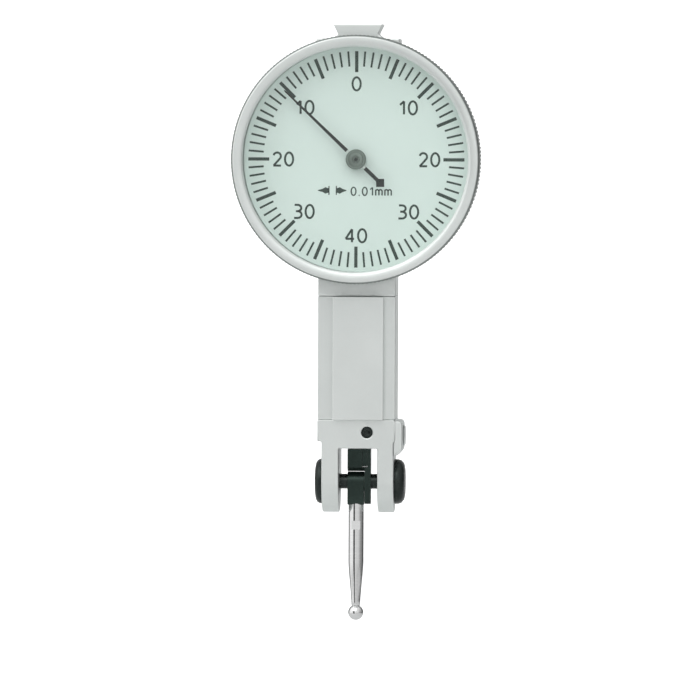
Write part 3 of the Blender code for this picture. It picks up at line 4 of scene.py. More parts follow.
import bmesh
import bpy
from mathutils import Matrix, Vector

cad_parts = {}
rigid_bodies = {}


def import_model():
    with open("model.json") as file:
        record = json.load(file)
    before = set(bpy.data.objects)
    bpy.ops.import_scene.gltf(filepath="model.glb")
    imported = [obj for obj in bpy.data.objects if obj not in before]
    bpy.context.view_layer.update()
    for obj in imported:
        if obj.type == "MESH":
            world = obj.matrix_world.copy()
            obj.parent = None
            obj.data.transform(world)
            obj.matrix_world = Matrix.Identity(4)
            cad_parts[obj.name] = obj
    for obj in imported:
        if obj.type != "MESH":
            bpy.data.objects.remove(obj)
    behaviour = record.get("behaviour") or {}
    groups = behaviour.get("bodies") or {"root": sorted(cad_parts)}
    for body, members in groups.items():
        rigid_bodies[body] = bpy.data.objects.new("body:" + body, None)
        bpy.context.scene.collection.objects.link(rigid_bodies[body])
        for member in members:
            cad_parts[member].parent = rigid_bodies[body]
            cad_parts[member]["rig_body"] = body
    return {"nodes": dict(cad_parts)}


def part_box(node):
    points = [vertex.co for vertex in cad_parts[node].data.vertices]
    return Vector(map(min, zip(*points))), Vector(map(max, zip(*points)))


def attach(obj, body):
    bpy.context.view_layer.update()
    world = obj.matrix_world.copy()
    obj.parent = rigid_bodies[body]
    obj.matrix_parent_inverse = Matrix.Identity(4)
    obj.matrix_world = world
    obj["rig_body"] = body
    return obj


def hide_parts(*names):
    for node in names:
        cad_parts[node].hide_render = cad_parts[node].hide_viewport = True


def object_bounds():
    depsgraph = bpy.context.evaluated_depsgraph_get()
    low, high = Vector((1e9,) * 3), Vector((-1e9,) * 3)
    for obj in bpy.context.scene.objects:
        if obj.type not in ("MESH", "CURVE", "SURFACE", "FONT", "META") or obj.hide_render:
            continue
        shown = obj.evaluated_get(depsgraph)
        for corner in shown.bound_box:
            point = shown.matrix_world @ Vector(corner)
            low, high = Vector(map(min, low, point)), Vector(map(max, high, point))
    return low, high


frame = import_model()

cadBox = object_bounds()
mm = 0.001  # lengths below are in millimetres, times mm
nodes = frame["nodes"]
dialCentre = sum(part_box("dial_plate"), Vector()) / 2
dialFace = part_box("dial_plate")[0].y
hubCentre = sum(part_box("pointer_bush"), Vector()) / 2
stylusMiddle = sum(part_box("contact_ball"), Vector()) / 2
dialAxis = Vector((dialCentre.x, 0, dialCentre.z))
hubAxis = Vector((hubCentre.x, 0, hubCentre.z))
stylusAxis = Vector((stylusMiddle.x, 0, 0))
print("frame loaded:", len(nodes), "parts")


def linear(hexColour):
    # sRGB hex to the linear colour a shader takes
    parts = [int(hexColour[i:i + 2], 16) / 255 for i in (1, 3, 5)]
    return [p / 12.92 if p <= 0.04045 else ((p + 0.055) / 1.055) ** 2.4 for p in parts] + [1.0]


def addNode(tree, kind, settings=None, links=None):
    # settings are the node's own options or its socket values, links plug other nodes in
    node = tree.nodes.new("ShaderNode" + kind)
    for name, value in (settings or {}).items():
        if isinstance(name, str) and hasattr(node, name):
            setattr(node, name, value)
        else:
            node.inputs[name].default_value = value
    for name, source in (links or {}).items():
        tree.links.new(source, node.inputs[name])
    return node


def newMaterial(name, surfaceSettings):
    # an empty node tree with a Principled surface on its output
    material = bpy.data.materials.new(name)
    material.use_nodes = True
    tree = material.node_tree
    tree.nodes.clear()
    surface = addNode(tree, "BsdfPrincipled", surfaceSettings)
    addNode(tree, "OutputMaterial", {}, {"Surface": surface.outputs[0]})
    return material, tree, surface


def perMetre(sizeMm):
    # texture scale for a pattern whose repeat is this many millimetres
    return 1 / (sizeMm * mm)


grainBand = (0.3, 0.7)  # a noise spends most of its area between these levels


def grainyFinish(name, look, settings):
    # colour drifts slowly between two tones, and a fine grain varies the gloss and dents the surface
    material, tree, surface = newMaterial(name, settings)
    place = addNode(tree, "TexCoord")
    cloud = addNode(tree, "TexNoise", {"Scale": perMetre(look["cloudMm"]), "Detail": look["cloudDetail"]},
                    {"Vector": place.outputs["Object"]})
    grain = addNode(tree, "TexNoise", {"Scale": perMetre(look["grainMm"]), "Detail": look["grainDetail"],
                                       "Roughness": look.get("grainRough", 0.5)},
                    {"Vector": place.outputs["Object"]})
    tone = addNode(tree, "Mix", {"data_type": "RGBA", 6: linear(look["shade"]), 7: linear(look["light"])},
                   {0: cloud.outputs["Fac"]})
    gloss = addNode(tree, "MapRange", {"From Min": grainBand[0], "From Max": grainBand[1],
                                       "To Min": look["roughness"][0], "To Max": look["roughness"][1]},
                    {"Value": grain.outputs["Fac"]})
    bump = addNode(tree, "Bump", {"Strength": look["dent"], "Distance": look["dentMm"] * mm},
                   {"Height": grain.outputs["Fac"]})
    tree.links.new(tone.outputs[2], surface.inputs["Base Color"])
    tree.links.new(gloss.outputs[0], surface.inputs["Roughness"])
    tree.links.new(bump.outputs[0], surface.inputs["Normal"])
    return material, {"tree": tree, "surface": surface, "place": place, "cloud": cloud, "grain": grain,
                      "tone": tone, "bump": bump}


def wearEdges(parts, look, patchy=False):
    # shows a rubbed colour where a corner turns within edgeMm, broken up by the cloud if patchy
    tree = parts["tree"]
    rounded = addNode(tree, "Bevel", {"samples": 4, "Radius": look["edgeMm"] * mm})
    facing = addNode(tree, "NewGeometry")
    turn = addNode(tree, "VectorMath", {"operation": "DOT_PRODUCT"},
                   {0: rounded.outputs[0], 1: facing.outputs["Normal"]})
    edge = addNode(tree, "MapRange", {"From Min": look["edgeTurn"][0], "From Max": look["edgeTurn"][1],
                                      "To Min": 0.0, "To Max": look["edgeWear"]},
                   {"Value": turn.outputs["Value"]})
    amount = edge
    if patchy:
        amount = addNode(tree, "Math", {"operation": "MULTIPLY"},
                         {0: edge.outputs[0], 1: parts["cloud"].outputs["Fac"]})
    worn = addNode(tree, "Mix", {"data_type": "RGBA", 7: linear(look["rubbed"])},
                   {0: amount.outputs[0], 6: parts["tone"].outputs[2]})
    tree.links.new(worn.outputs[2], parts["surface"].inputs["Base Color"])


def distanceFrom(tree, place, centre):
    # how far a point lies from the line through the centre that runs front to back
    reach = addNode(tree, "VectorMath", {"operation": "SUBTRACT", 1: centre}, {0: place.outputs["Object"]})
    flat = addNode(tree, "VectorMath", {"operation": "MULTIPLY", 1: (1, 0, 1)}, {0: reach.outputs[0]})
    return addNode(tree, "VectorMath", {"operation": "LENGTH"}, {0: flat.outputs[0]})


# Satin hard chrome: steel blasted with fine glass beads, then plated. Pale neutral grey with wide soft
# highlights, a little brighter where fingers polish the edges.
satinChrome = {
    "light": "#e3e7e5", "shade": "#d3d8d6", "rubbed": "#eceeed", "roughness": (0.34, 0.46),
    "grainMm": 0.32,  # real bead dimples are about 0.05 mm, drawn coarser so that they show
    "grainDetail": 2.0, "grainRough": 0.6, "dent": 0.05, "dentMm": 0.02,
    "cloudMm": 7.0,  # slow change of tone across the plating
    "cloudDetail": 3.0, "edgeMm": 0.3, "edgeTurn": (0.99, 0.86), "edgeWear": 0.8,
}
latheRings = {"stepMm": 0.22, "depth": 0.35}  # the real rings are about 0.1 mm apart, drawn coarser


def makeSatinChrome(name, look, turnedAbout=None):
    material, parts = grainyFinish(name, look, {"Metallic": 1.0})
    wearEdges(parts, look)
    if turnedAbout is not None:  # rings left by the lathe tool round the dial's axis
        tree = parts["tree"]
        radius = distanceFrom(tree, parts["place"], turnedAbout)
        turnsPerMetre = perMetre(latheRings["stepMm"])
        angle = addNode(tree, "Math", {"operation": "MULTIPLY", 1: 2 * math.pi * turnsPerMetre},
                        {0: radius.outputs["Value"]})
        ring = addNode(tree, "Math", {"operation": "SINE"}, {0: angle.outputs[0]})
        soft = addNode(tree, "Math", {"operation": "MULTIPLY", 1: latheRings["depth"]}, {0: ring.outputs[0]})
        both = addNode(tree, "Math", {"operation": "ADD"},
                       {0: soft.outputs[0], 1: parts["grain"].outputs["Fac"]})
        tree.links.new(both.outputs[0], parts["bump"].inputs["Height"])
    return material


satinHardChrome = makeSatinChrome("satinHardChrome", satinChrome)
turnedSatinChrome = makeSatinChrome("turnedSatinChrome", {**satinChrome, "roughness": (0.42, 0.54)},
                                    turnedAbout=dialCentre)
# The knurled rim gets a darker copy of the satin chrome: painted shade standing for the dark outer edge the
# rim shows.
knurlShadeLook = {**satinChrome, "light": "#939996", "shade": "#808683", "rubbed": "#b2b7b5"}
paintedShadeKnurlChrome = makeSatinChrome("paintedShadeKnurlChrome", knurlShadeLook)

# Bright chrome: ground and polished steel, then plated. Mirrors the room in long streaks, with faint
# grinding rings round its length.
brightChrome = {
    "light": "#e6e6e6", "shade": "#cfd0d0", "roughness": (0.09, 0.17), "detail": 4.0,
    "dent": 0.06, "dentMm": 0.01,
    "ringMm": 0.35,     # spacing along the stylus; real grinding marks are finer than could show
    "aroundMm": 12.5,   # how slowly a ring changes on its way round
}
polishedChrome, tree, surface = newMaterial("polishedHardChrome", {"Metallic": 1.0})
place = addNode(tree, "TexCoord")
squeeze = [perMetre(brightChrome[size]) for size in ("aroundMm", "aroundMm", "ringMm")]
squeezed = addNode(tree, "Mapping", {"Scale": squeeze}, {"Vector": place.outputs["Object"]})
grind = addNode(tree, "TexNoise", {"Scale": 1.0, "Detail": brightChrome["detail"]},
                {"Vector": squeezed.outputs[0]})
tone = addNode(tree, "Mix", {"data_type": "RGBA", 6: linear(brightChrome["shade"]),
                             7: linear(brightChrome["light"])}, {0: grind.outputs["Fac"]})
gloss = addNode(tree, "MapRange", {"From Min": grainBand[0], "From Max": grainBand[1],
                                   "To Min": brightChrome["roughness"][0],
                                   "To Max": brightChrome["roughness"][1]}, {"Value": grind.outputs["Fac"]})
bump = addNode(tree, "Bump", {"Strength": brightChrome["dent"], "Distance": brightChrome["dentMm"] * mm},
               {"Height": grind.outputs["Fac"]})
tree.links.new(tone.outputs[2], surface.inputs["Base Color"])
tree.links.new(gloss.outputs[0], surface.inputs["Roughness"])
tree.links.new(bump.outputs[0], surface.inputs["Normal"])

# Black oxide steel: machined steel darkened in a hot salt bath and oiled. Deep blue-green black with a
# dull metal sheen, and grey steel showing where edges rub.
blackOxide = {
    "shade": "#1b201f", "light": "#3a413f", "rubbed": "#6d7472", "roughness": (0.24, 0.40),
    "grainMm": 0.4, "grainDetail": 2.0, "dent": 0.12, "dentMm": 0.02, "cloudMm": 2.5, "cloudDetail": 4.0,
    "edgeMm": 0.16, "edgeTurn": (0.97, 0.80), "edgeWear": 0.75,
}
oiledBlack = {**blackOxide, "shade": "#1d2825", "light": "#33413c", "rubbed": "#56635e",
              "roughness": (0.26, 0.4)}


def makeBlackOxide(name, look):
    material, parts = grainyFinish(name, look, {"Metallic": 0.75})
    wearEdges(parts, look, patchy=True)
    return material


blackOxideSteel = makeBlackOxide("blackOxideSteel", blackOxide)
oiledBlackSteel = makeBlackOxide("oiledBlackSteel", oiledBlack)

# Plain metals of the small parts: each has its own colour, a fine machined grain and cloudy wear.
plainMetal = {"cloudMm": 1.6, "cloudDetail": 4.0, "grainDetail": 3.0, "dent": 0.1, "dentMm": 0.01}
plainMetals = {
    "screwSteel": {"light": "#b9bdbc", "shade": "#8f9493", "roughness": (0.24, 0.38), "grainMm": 0.25},
    "nickelledHubSteel": {"light": "#8b958f", "shade": "#6d7771", "roughness": (0.34, 0.5), "grainMm": 0.2},
    "clockBrass": {"light": "#c9a85c", "shade": "#a8853c", "roughness": (0.22, 0.36), "grainMm": 0.3},
    "bearingBronze": {"light": "#b98a58", "shade": "#8e653b", "roughness": (0.32, 0.46), "grainMm": 0.35},
    "springBronze": {"light": "#c8965a", "shade": "#a3723f", "roughness": (0.2, 0.3), "grainMm": 0.4},
}
metals = {name: grainyFinish(name, {**plainMetal, **look}, {"Metallic": 1.0})[0]
          for name, look in plainMetals.items()}

# Synthetic ruby: a hard red stone polished like glass, deep and a little clear.
ruby = {"deep": "#7a0f24", "bright": "#b3213c", "cloudMm": 0.6}
syntheticRuby, tree, surface = newMaterial("syntheticRuby", {"Roughness": 0.08, "IOR": 1.77,
                                                             "Transmission Weight": 0.35})
place = addNode(tree, "TexCoord")
cloud = addNode(tree, "TexNoise", {"Scale": perMetre(ruby["cloudMm"]), "Detail": 2.0},
                {"Vector": place.outputs["Object"]})
tone = addNode(tree, "Mix", {"data_type": "RGBA", 6: linear(ruby["deep"]), 7: linear(ruby["bright"])},
               {0: cloud.outputs["Fac"]})
tree.links.new(tone.outputs[2], surface.inputs["Base Color"])

# Dial enamel: a brass disc sprayed with pale mint lacquer and baked. Matt and even, with a faint
# orange-peel and the slightest change of tone.
dialEnamel = {
    "light": "#eaf4f1", "shade": "#e3eeea", "roughness": (0.5, 0.62), "grainMm": 0.45, "grainDetail": 2.0,
    "dent": 0.04, "dentMm": 0.02, "cloudMm": 9.0, "cloudDetail": 2.0,
}
mintDialEnamel = grainyFinish("mintDialEnamel", dialEnamel, {"IOR": 1.5, "Specular IOR Level": 0.25})[0]

# Pad-printed ink: thin green-black enamel ink, matt, a touch uneven where the pad lifted.
printingInk = {"deep": "#1f322c", "thin": "#33463f", "padMm": 0.5}
padPrintedInk, tree, surface = newMaterial("padPrintedInk", {"IOR": 1.5, "Roughness": 0.62,
                                                             "Specular IOR Level": 0.2})
place = addNode(tree, "TexCoord")
pad = addNode(tree, "TexNoise", {"Scale": perMetre(printingInk["padMm"]), "Detail": 3.0},
              {"Vector": place.outputs["Object"]})
tone = addNode(tree, "Mix", {"data_type": "RGBA", 6: linear(printingInk["deep"]),
                             7: linear(printingInk["thin"])}, {0: pad.outputs["Fac"]})
tree.links.new(tone.outputs[2], surface.inputs["Base Color"])

# Pointer lacquer: stamped aluminium foil sprayed black, satin, with a fine spray grain. The foil is left
# bare where the hub was staked on.
pointerLacquer = {
    "deep": "#0c1412", "thin": "#18231f", "bare": "#d5dbd8", "sprayMm": 0.3, "dent": 0.08, "dentMm": 0.01,
    "paintFromMm": (1.56, 1.66),  # distance from the hub's middle where the paint begins
}
blackPointerLacquer, tree, surface = newMaterial("blackPointerLacquer", {"IOR": 1.5, "Roughness": 0.55,
                                                                         "Specular IOR Level": 0.2})
place = addNode(tree, "TexCoord")
spray = addNode(tree, "TexNoise", {"Scale": perMetre(pointerLacquer["sprayMm"]), "Detail": 2.0},
                {"Vector": place.outputs["Object"]})
tone = addNode(tree, "Mix", {"data_type": "RGBA", 6: linear(pointerLacquer["deep"]),
                             7: linear(pointerLacquer["thin"])}, {0: spray.outputs["Fac"]})
bump = addNode(tree, "Bump", {"Strength": pointerLacquer["dent"], "Distance": pointerLacquer["dentMm"] * mm},
               {"Height": spray.outputs["Fac"]})
apart = distanceFrom(tree, place, hubCentre)
bare = addNode(tree, "MapRange", {"From Min": pointerLacquer["paintFromMm"][1] * mm,
                                  "From Max": pointerLacquer["paintFromMm"][0] * mm},
               {"Value": apart.outputs["Value"]})
painted = addNode(tree, "Mix", {"data_type": "RGBA", 7: linear(pointerLacquer["bare"])},
                  {0: bare.outputs[0], 6: tone.outputs[2]})
tree.links.new(painted.outputs[2], surface.inputs["Base Color"])
tree.links.new(bare.outputs[0], surface.inputs["Metallic"])
tree.links.new(bump.outputs[0], surface.inputs["Normal"])

# Acrylic crystal: clear moulded acrylic, polished. It hides nothing, mirrors a little straight on and
# much more at a slant, with faint handling haze.
crystalLook = {"tint": "#fbfdfc", "straight": 0.03, "slant": 0.75, "haze": (0.02, 0.07), "hazeMm": 4.0}
acrylicCrystal = bpy.data.materials.new("clearAcrylic")
acrylicCrystal.use_nodes = True
tree = acrylicCrystal.node_tree
tree.nodes.clear()
place = addNode(tree, "TexCoord")
haze = addNode(tree, "TexNoise", {"Scale": perMetre(crystalLook["hazeMm"]), "Detail": 4.0},
               {"Vector": place.outputs["Object"]})
dull = addNode(tree, "MapRange", {"From Min": grainBand[0], "From Max": grainBand[1],
                                  "To Min": crystalLook["haze"][0], "To Max": crystalLook["haze"][1]},
               {"Value": haze.outputs["Fac"]})
slant = addNode(tree, "LayerWeight", {"Blend": 0.5})
steep = addNode(tree, "Math", {"operation": "POWER", 1: 4.0}, {0: slant.outputs["Facing"]})
share = addNode(tree, "MapRange", {"To Min": crystalLook["straight"], "To Max": crystalLook["slant"]},
                {"Value": steep.outputs[0]})
clear = addNode(tree, "BsdfTransparent", {"Color": linear(crystalLook["tint"])})
shine = addNode(tree, "BsdfAnisotropic", {"Color": linear("#ffffff")}, {"Roughness": dull.outputs[0]})
pane = addNode(tree, "MixShader", {}, {0: share.outputs[0], 1: clear.outputs[0], 2: shine.outputs[0]})
addNode(tree, "OutputMaterial", {}, {"Surface": pane.outputs[0]})
print("materials made:", len(bpy.data.materials))


def showPiece(name, mesh, material, body, stoodFor=()):
    # a finished mesh becomes a piece that rides on a body and may stand for CAD parts
    piece = bpy.data.objects.new(name, mesh)
    bpy.context.scene.collection.objects.link(piece)
    mesh.materials.clear()
    mesh.materials.append(material)
    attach(piece, body)
    if stoodFor:
        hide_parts(*stoodFor)
    return piece


brokenEdge = {"weldMm": 0.001, "flatDegrees": 0.6, "cornerDegrees": 38, "segments": 2, "faceWeight": 80}


def softened(nodeName, material, edgeMm, name=None):
    # a copy of a CAD part with its seams welded, its faces made whole and its edges broken
    source = nodes[nodeName]
    corner = math.radians(brokenEdge["cornerDegrees"])
    work = bmesh.new()
    work.from_mesh(source.data)
    bmesh.ops.remove_doubles(work, verts=work.verts, dist=brokenEdge["weldMm"] * mm)
    bmesh.ops.dissolve_limit(work, angle_limit=math.radians(brokenEdge["flatDegrees"]), verts=work.verts,
                             edges=work.edges, delimit={"NORMAL"})
    bmesh.ops.recalc_face_normals(work, faces=work.faces)
    work.verts.index_update()
    corners = [v.co.copy() for v in work.verts]
    mesh = bpy.data.meshes.new(name or nodeName + "_finished")
    mesh.from_pydata(corners, [], [[v.index for v in f.verts] for f in work.faces])
    work.free()
    mesh.shade_smooth()
    if not edgeMm:  # with no width to break, the corners stay crisp
        mesh.set_sharp_from_angle(angle=corner)
    piece = showPiece(mesh.name, mesh, material, source["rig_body"], [nodeName])
    if edgeMm:
        broken = piece.modifiers.new("brokenEdges", "BEVEL")
        broken.width = edgeMm * mm
        broken.segments = brokenEdge["segments"]
        broken.limit_method = "ANGLE"
        broken.angle_limit = corner
        broken.use_clamp_overlap = False
        broken.miter_outer = "MITER_ARC"
    level = piece.modifiers.new("evenShading", "WEIGHTED_NORMAL")
    level.keep_sharp = True
    level.weight = brokenEdge["faceWeight"]


lathe = {"weldMm": 0.0005, "cornerDegrees": 32}


def turned(name, profile, centre, axis, steps, shape=None):
    # a closed lathe mesh: profile is (radius, along) in mm, shape may change a radius by its angle
    work = bmesh.new()
    rings = []
    for step in range(steps):
        angle = 2 * math.pi * step / steps
        ring = []
        for index, (radius, along) in enumerate(profile):
            if shape:
                radius = shape(index, radius, angle)
            across, up = radius * math.cos(angle), radius * math.sin(angle)
            spot = (across, along, up) if axis == "y" else (across, up, along)
            ring.append(work.verts.new(Vector(spot) * mm + centre))
        rings.append(ring)
    count = len(profile)
    for step in range(steps):
        here, there = rings[step], rings[(step + 1) % steps]
        for index in range(count):
            after = (index + 1) % count
            work.faces.new((here[index], there[index], there[after], here[after]))
    bmesh.ops.remove_doubles(work, verts=work.verts, dist=lathe["weldMm"] * mm)
    bmesh.ops.recalc_face_normals(work, faces=work.faces)
    mesh = bpy.data.meshes.new(name)
    work.to_mesh(mesh)
    work.free()
    mesh.shade_smooth()
    mesh.set_sharp_from_angle(angle=math.radians(lathe["cornerDegrees"]))
    return mesh


# Bezel: a turned ring with a crest, a sloping inner lip over the crystal and a fine straight knurl.
bezelLook = {
    # the darker band of painted shade on the knurled rim reaches this far in from the rim
    "teeth": 192, "pointsPerTooth": 5, "toothDepth": 0.13, "toothSharpness": 0.7, "paintedShadeDepth": 0.22,
    "radius": 16.0, "crestRadius": 15.3, "front": -8.999, "lipRadius": 14.45, "lipFront": -8.62,
    "seat": 14.62, "skirt": 14.05, "rimFront": -8.45, "rimBack": -3.6,
}


def makeBezel():
    look = bezelLook
    rim, crest, lip = look["radius"], look["crestRadius"], look["lipRadius"]
    seat, skirt, back = look["seat"], look["skirt"], look["rimBack"]
    valley = rim - look["toothDepth"]
    profile = [
        (skirt, -4.3), (skirt, -5.3), (14.3, -5.42), (seat, -5.5), (seat, -7.9), (seat, -8.5),
        (lip, -8.52), (lip, look["lipFront"]), (lip + 0.05, look["lipFront"] - 0.06), (14.6, -8.82),
        (14.72, -8.9), (14.9, -8.95), (crest, look["front"]), (crest + 0.35, -8.97), (rim - 0.25, -8.88),
        (rim - 0.13, -8.78), (rim - 0.06, -8.66),
        (rim, look["rimFront"] + 0.05), (rim, -8.2), (rim, back + 0.4), (rim, back + 0.18),
        (rim - 0.12, back), (15.1, back), (15.0, -3.7), (15.0, -4.2),
    ]
    knurled = {index for index, point in enumerate(profile) if point[0] == rim}

    def knurl(index, radius, angle):
        if index not in knurled:
            return radius
        wave = 0.5 + 0.5 * math.cos(angle * look["teeth"])
        return valley + (radius - valley) * wave ** look["toothSharpness"]

    mesh = turned("bezelRing", profile, dialAxis, "y", look["teeth"] * look["pointsPerTooth"], knurl)
    showPiece("bezelRing", mesh, turnedSatinChrome, "bezel", ["bezel"])
    mesh.materials.append(paintedShadeKnurlChrome)
    for face in mesh.polygons:  # the outermost band gets the darker chrome, painted shade for the rim's dark edge
        reach = face.center - dialAxis
        face.material_index = int(math.hypot(reach.x, reach.z) > (rim - look["paintedShadeDepth"]) * mm)


makeBezel()

# Crystal: a flat acrylic disc with a polished chamfer and a slight crown.
crystalShape = {
    "radius": 14.72, "back": -7.9, "front": -8.5, "chamfer": 0.06, "crown": 0.05, "rings": 8, "steps": 128,
}


def makeCrystal():
    shape = crystalShape
    edge, front, back, chamfer = (shape[key] for key in ("radius", "front", "back", "chamfer"))
    profile = [(0.0, back), (edge / 3, back), (edge * 2 / 3, back), (edge, back), (edge, front + chamfer)]
    for step in range(shape["rings"], -1, -1):
        share = step / shape["rings"]
        profile.append(((edge - chamfer) * share, front + shape["crown"] * share ** 2))
    mesh = turned("dialCrystal", profile, dialAxis, "y", shape["steps"])
    showPiece("dialCrystal", mesh, acrylicCrystal, "bezel", ["crystal"])


makeCrystal()
print("bezel and crystal made")

# Dial plate: a thin disc with a turned edge, and everything printed on it.
dialShape = {"radius": 14.5, "hole": 1.0, "front": -5.95, "back": -5.55, "edge": 0.06, "steps": 160}
marks = {
    "count": 80, "longEvery": 5, "outer": 13.9, "shortInner": 11.95, "longInner": 11.2,
    "shortWidth": 0.25, "longWidth": 0.42, "ink": 0.015, "sunk": 0.01,
}
numerals = {
    "height": 1.95, "stroke": 0.27, "gap": 0.52, "step": 45,
    "rings": {0: 9.7, 10: 9.4, 20: 9.4, 30: 9.5, 40: 9.8},
}
reading = {
    "text": "0.01mm", "height": 1.2, "stroke": 0.17, "gap": 0.38, "left": -0.72, "right": 4.6, "down": -4.1,
}
arrows = {
    "leftTip": -4.93, "leftBar": -3.5, "rightBar": -2.55, "rightTip": -1.25, "down": -4.0, "half": 0.42,
    "barHalf": 0.07, "barOver": 0.15, "root": 0.6, "widestAt": 0.45, "waistAt": 0.8, "waist": 0.5,
    "tipHalf": 0.04,
}


def slab(work, corners):
    # a thin printed patch: corners are (x, z) in mm from the dial's middle, raised by the ink's thickness
    def ring(lift):
        return [work.verts.new((dialCentre.x + x * mm, dialFace - lift * mm, dialCentre.z + z * mm))
                for x, z in corners]
    low, high = ring(-marks["sunk"]), ring(marks["ink"])
    work.faces.new(high)
    work.faces.new(list(reversed(low)))
    for index in range(len(corners)):
        after = (index + 1) % len(corners)
        work.faces.new((low[index], low[after], high[after], high[index]))


def finishPrint(name, work):
    bmesh.ops.recalc_face_normals(work, faces=work.faces)
    mesh = bpy.data.meshes.new(name)
    work.to_mesh(mesh)
    work.free()
    showPiece(name, mesh, padPrintedInk, "bezel")


def makeDial():
    shape = dialShape
    edge, hole, front, back, lip = (shape[key] for key in ("radius", "hole", "front", "back", "edge"))
    profile = [(hole, back), (edge, back), (edge, front + lip), (edge - lip, front), (10.0, front),
               (5.0, front), (hole + lip, front), (hole, front + lip)]
    mesh = turned("dialPlate", profile, dialAxis, "y", shape["steps"])
    showPiece("dialPlate", mesh, mintDialEnamel, "bezel", ["dial_plate"])


def makeTicks():
    work = bmesh.new()
    outer = marks["outer"]
    for index in range(marks["count"]):
        size = "short" if index % marks["longEvery"] else "long"
        inner, half = marks[size + "Inner"], marks[size + "Width"] / 2
        angle = 2 * math.pi * index / marks["count"]
        out, side = (math.sin(angle), math.cos(angle)), (math.cos(angle), -math.sin(angle))
        slab(work, [(out[0] * r + side[0] * s, out[1] * r + side[1] * s)
                    for r, s in ((inner, -half), (outer, -half), (outer, half), (inner, half))])
    finishPrint("dialGraduations", work)


def arc(across, up, wide, high, begin, finish, steps=14):
    # points along part of an ellipse, angles in degrees
    turns = [math.radians(begin + (finish - begin) * step / steps) for step in range(steps + 1)]
    return [(across + wide * math.cos(turn), up + high * math.sin(turn)) for turn in turns]


# Each sign is its width and the middle lines of its strokes, in a box one unit high.
signs = {
    "0": (0.62, [arc(0.31, 0.5, 0.31, 0.5, 0, 360, 32)]),
    "1": (0.40, [[(0.04, 0.72), (0.34, 1.0)], [(0.34, 1.0), (0.34, 0.0)]]),
    "2": (0.58, [arc(0.29, 0.72, 0.28, 0.28, 165, -35) + [(0.02, 0.0)], [(0.0, 0.0), (0.58, 0.0)]]),
    "3": (0.58, [[(0.04, 1.0), (0.28, 1.0)], arc(0.28, 0.76, 0.27, 0.24, 90, -90),
                 [(0.14, 0.52), (0.28, 0.52)], arc(0.28, 0.26, 0.3, 0.26, 90, -90),
                 [(0.0, 0.0), (0.28, 0.0)]]),
    "4": (0.64, [[(0.48, 0.0), (0.48, 1.0)], [(0.48, 1.0), (0.0, 0.26)], [(0.0, 0.26), (0.64, 0.26)]]),
    ".": (0.12, [[(0.0, 0.0), (0.12, 0.0)]]),
    "m": (0.84, [[(0.0, 0.0), (0.0, 0.72)], arc(0.21, 0.5, 0.21, 0.22, 180, 0) + [(0.42, 0.0)],
                 arc(0.63, 0.5, 0.21, 0.22, 180, 0) + [(0.84, 0.0)]]),
}


def stroke(work, points, thick):
    # lays one pen stroke on the dial as a row of patches with mitred joints
    closed = math.dist(points[0], points[-1]) < 0.001
    sides = []
    for index, point in enumerate(points):
        before = points[index - 1 if index else (-2 if closed else 0)]
        after = points[index + 1 if index + 1 < len(points) else (1 if closed else index)]
        along = Vector((after[0] - before[0], after[1] - before[1])).normalized() * thick / 2
        sides.append(((point[0] - along.y, point[1] + along.x), (point[0] + along.y, point[1] - along.x)))
    for here, there in zip(sides, sides[1:]):
        slab(work, [here[0], there[0], there[1], here[1]])


def printText(work, text, look, x, z, width=None):
    # prints a line of signs with its middle at (x, z) mm from the dial's middle
    tall = look["height"] - look["stroke"]
    gap = look["gap"] / tall
    long = sum(signs[sign][0] for sign in text) + gap * (len(text) - 1)
    wide = (width - look["stroke"]) / long if width else tall
    at = -long / 2
    for sign in text:
        advance, strokes = signs[sign]
        for points in strokes:
            placed = [(x + (at + px) * wide, z + (pz - 0.5) * tall) for px, pz in points]
            stroke(work, placed, look["stroke"])
        at += advance + gap


def makeNumerals():
    work = bmesh.new()
    count = 360 // numerals["step"]
    for turn in range(count):  # the numbers climb to the bottom of the dial and fall again
        value = 10 * min(turn, count - turn)
        angle, radius = math.radians(turn * numerals["step"]), numerals["rings"][value]
        printText(work, str(value), numerals, radius * math.sin(angle), radius * math.cos(angle))
    left, right = reading["left"], reading["right"]
    printText(work, reading["text"], reading, (left + right) / 2, reading["down"], right - left)
    finishPrint("dialNumerals", work)


def makeArrows():
    work = bmesh.new()
    look = arrows
    down, half = look["down"], look["half"]
    wide, tall = look["barHalf"], half + look["barOver"]
    for tip, bar in ((look["leftTip"], look["leftBar"]), (look["rightTip"], look["rightBar"])):
        way = 1 if tip > bar else -1
        slab(work, [(bar - wide, down - tall), (bar + wide, down - tall),
                    (bar + wide, down + tall), (bar - wide, down + tall)])
        side = [(bar, half * look["root"]), (bar + way * look["widestAt"], half),
                (bar + way * look["waistAt"], half * look["waist"]), (tip, look["tipHalf"])]
        slab(work, [(x, down - z) for x, z in side] + [(x, down + z) for x, z in reversed(side)])
    finishPrint("dialArrows", work)


makeDial()
makeTicks()
makeNumerals()
makeArrows()
print("dial printed")

# Pointer hub: a turned bush with a shallow dish round its bore. The blade keeps its CAD shape.
hubShape = {"radius": 1.3, "front": -7.4, "back": -6.35, "bore": 0.24, "steps": 72}


def makeHub():
    shape = hubShape
    edge, front, back, bore = (shape[key] for key in ("radius", "front", "back", "bore"))
    profile = [(bore, back), (edge - 0.08, back), (edge, back - 0.08), (edge, front + 0.22),
               (edge - 0.1, front + 0.12), (0.95, front + 0.12), (0.9, front + 0.02), (0.84, front),
               (0.52, front), (0.46, front + 0.04), (0.4, front + 0.12), (bore + 0.04, front + 0.12),
               (bore, front + 0.16)]
    mesh = turned("pointerHub", profile, hubAxis, "y", shape["steps"])
    hubSteel = metals["nickelledHubSteel"]
    showPiece("pointerHub", mesh, hubSteel, "pointer", ["pointer_bush"])


makeHub()
softened("pointer", blackPointerLacquer, 0.02, name="pointerBlade")
print("pointer made")

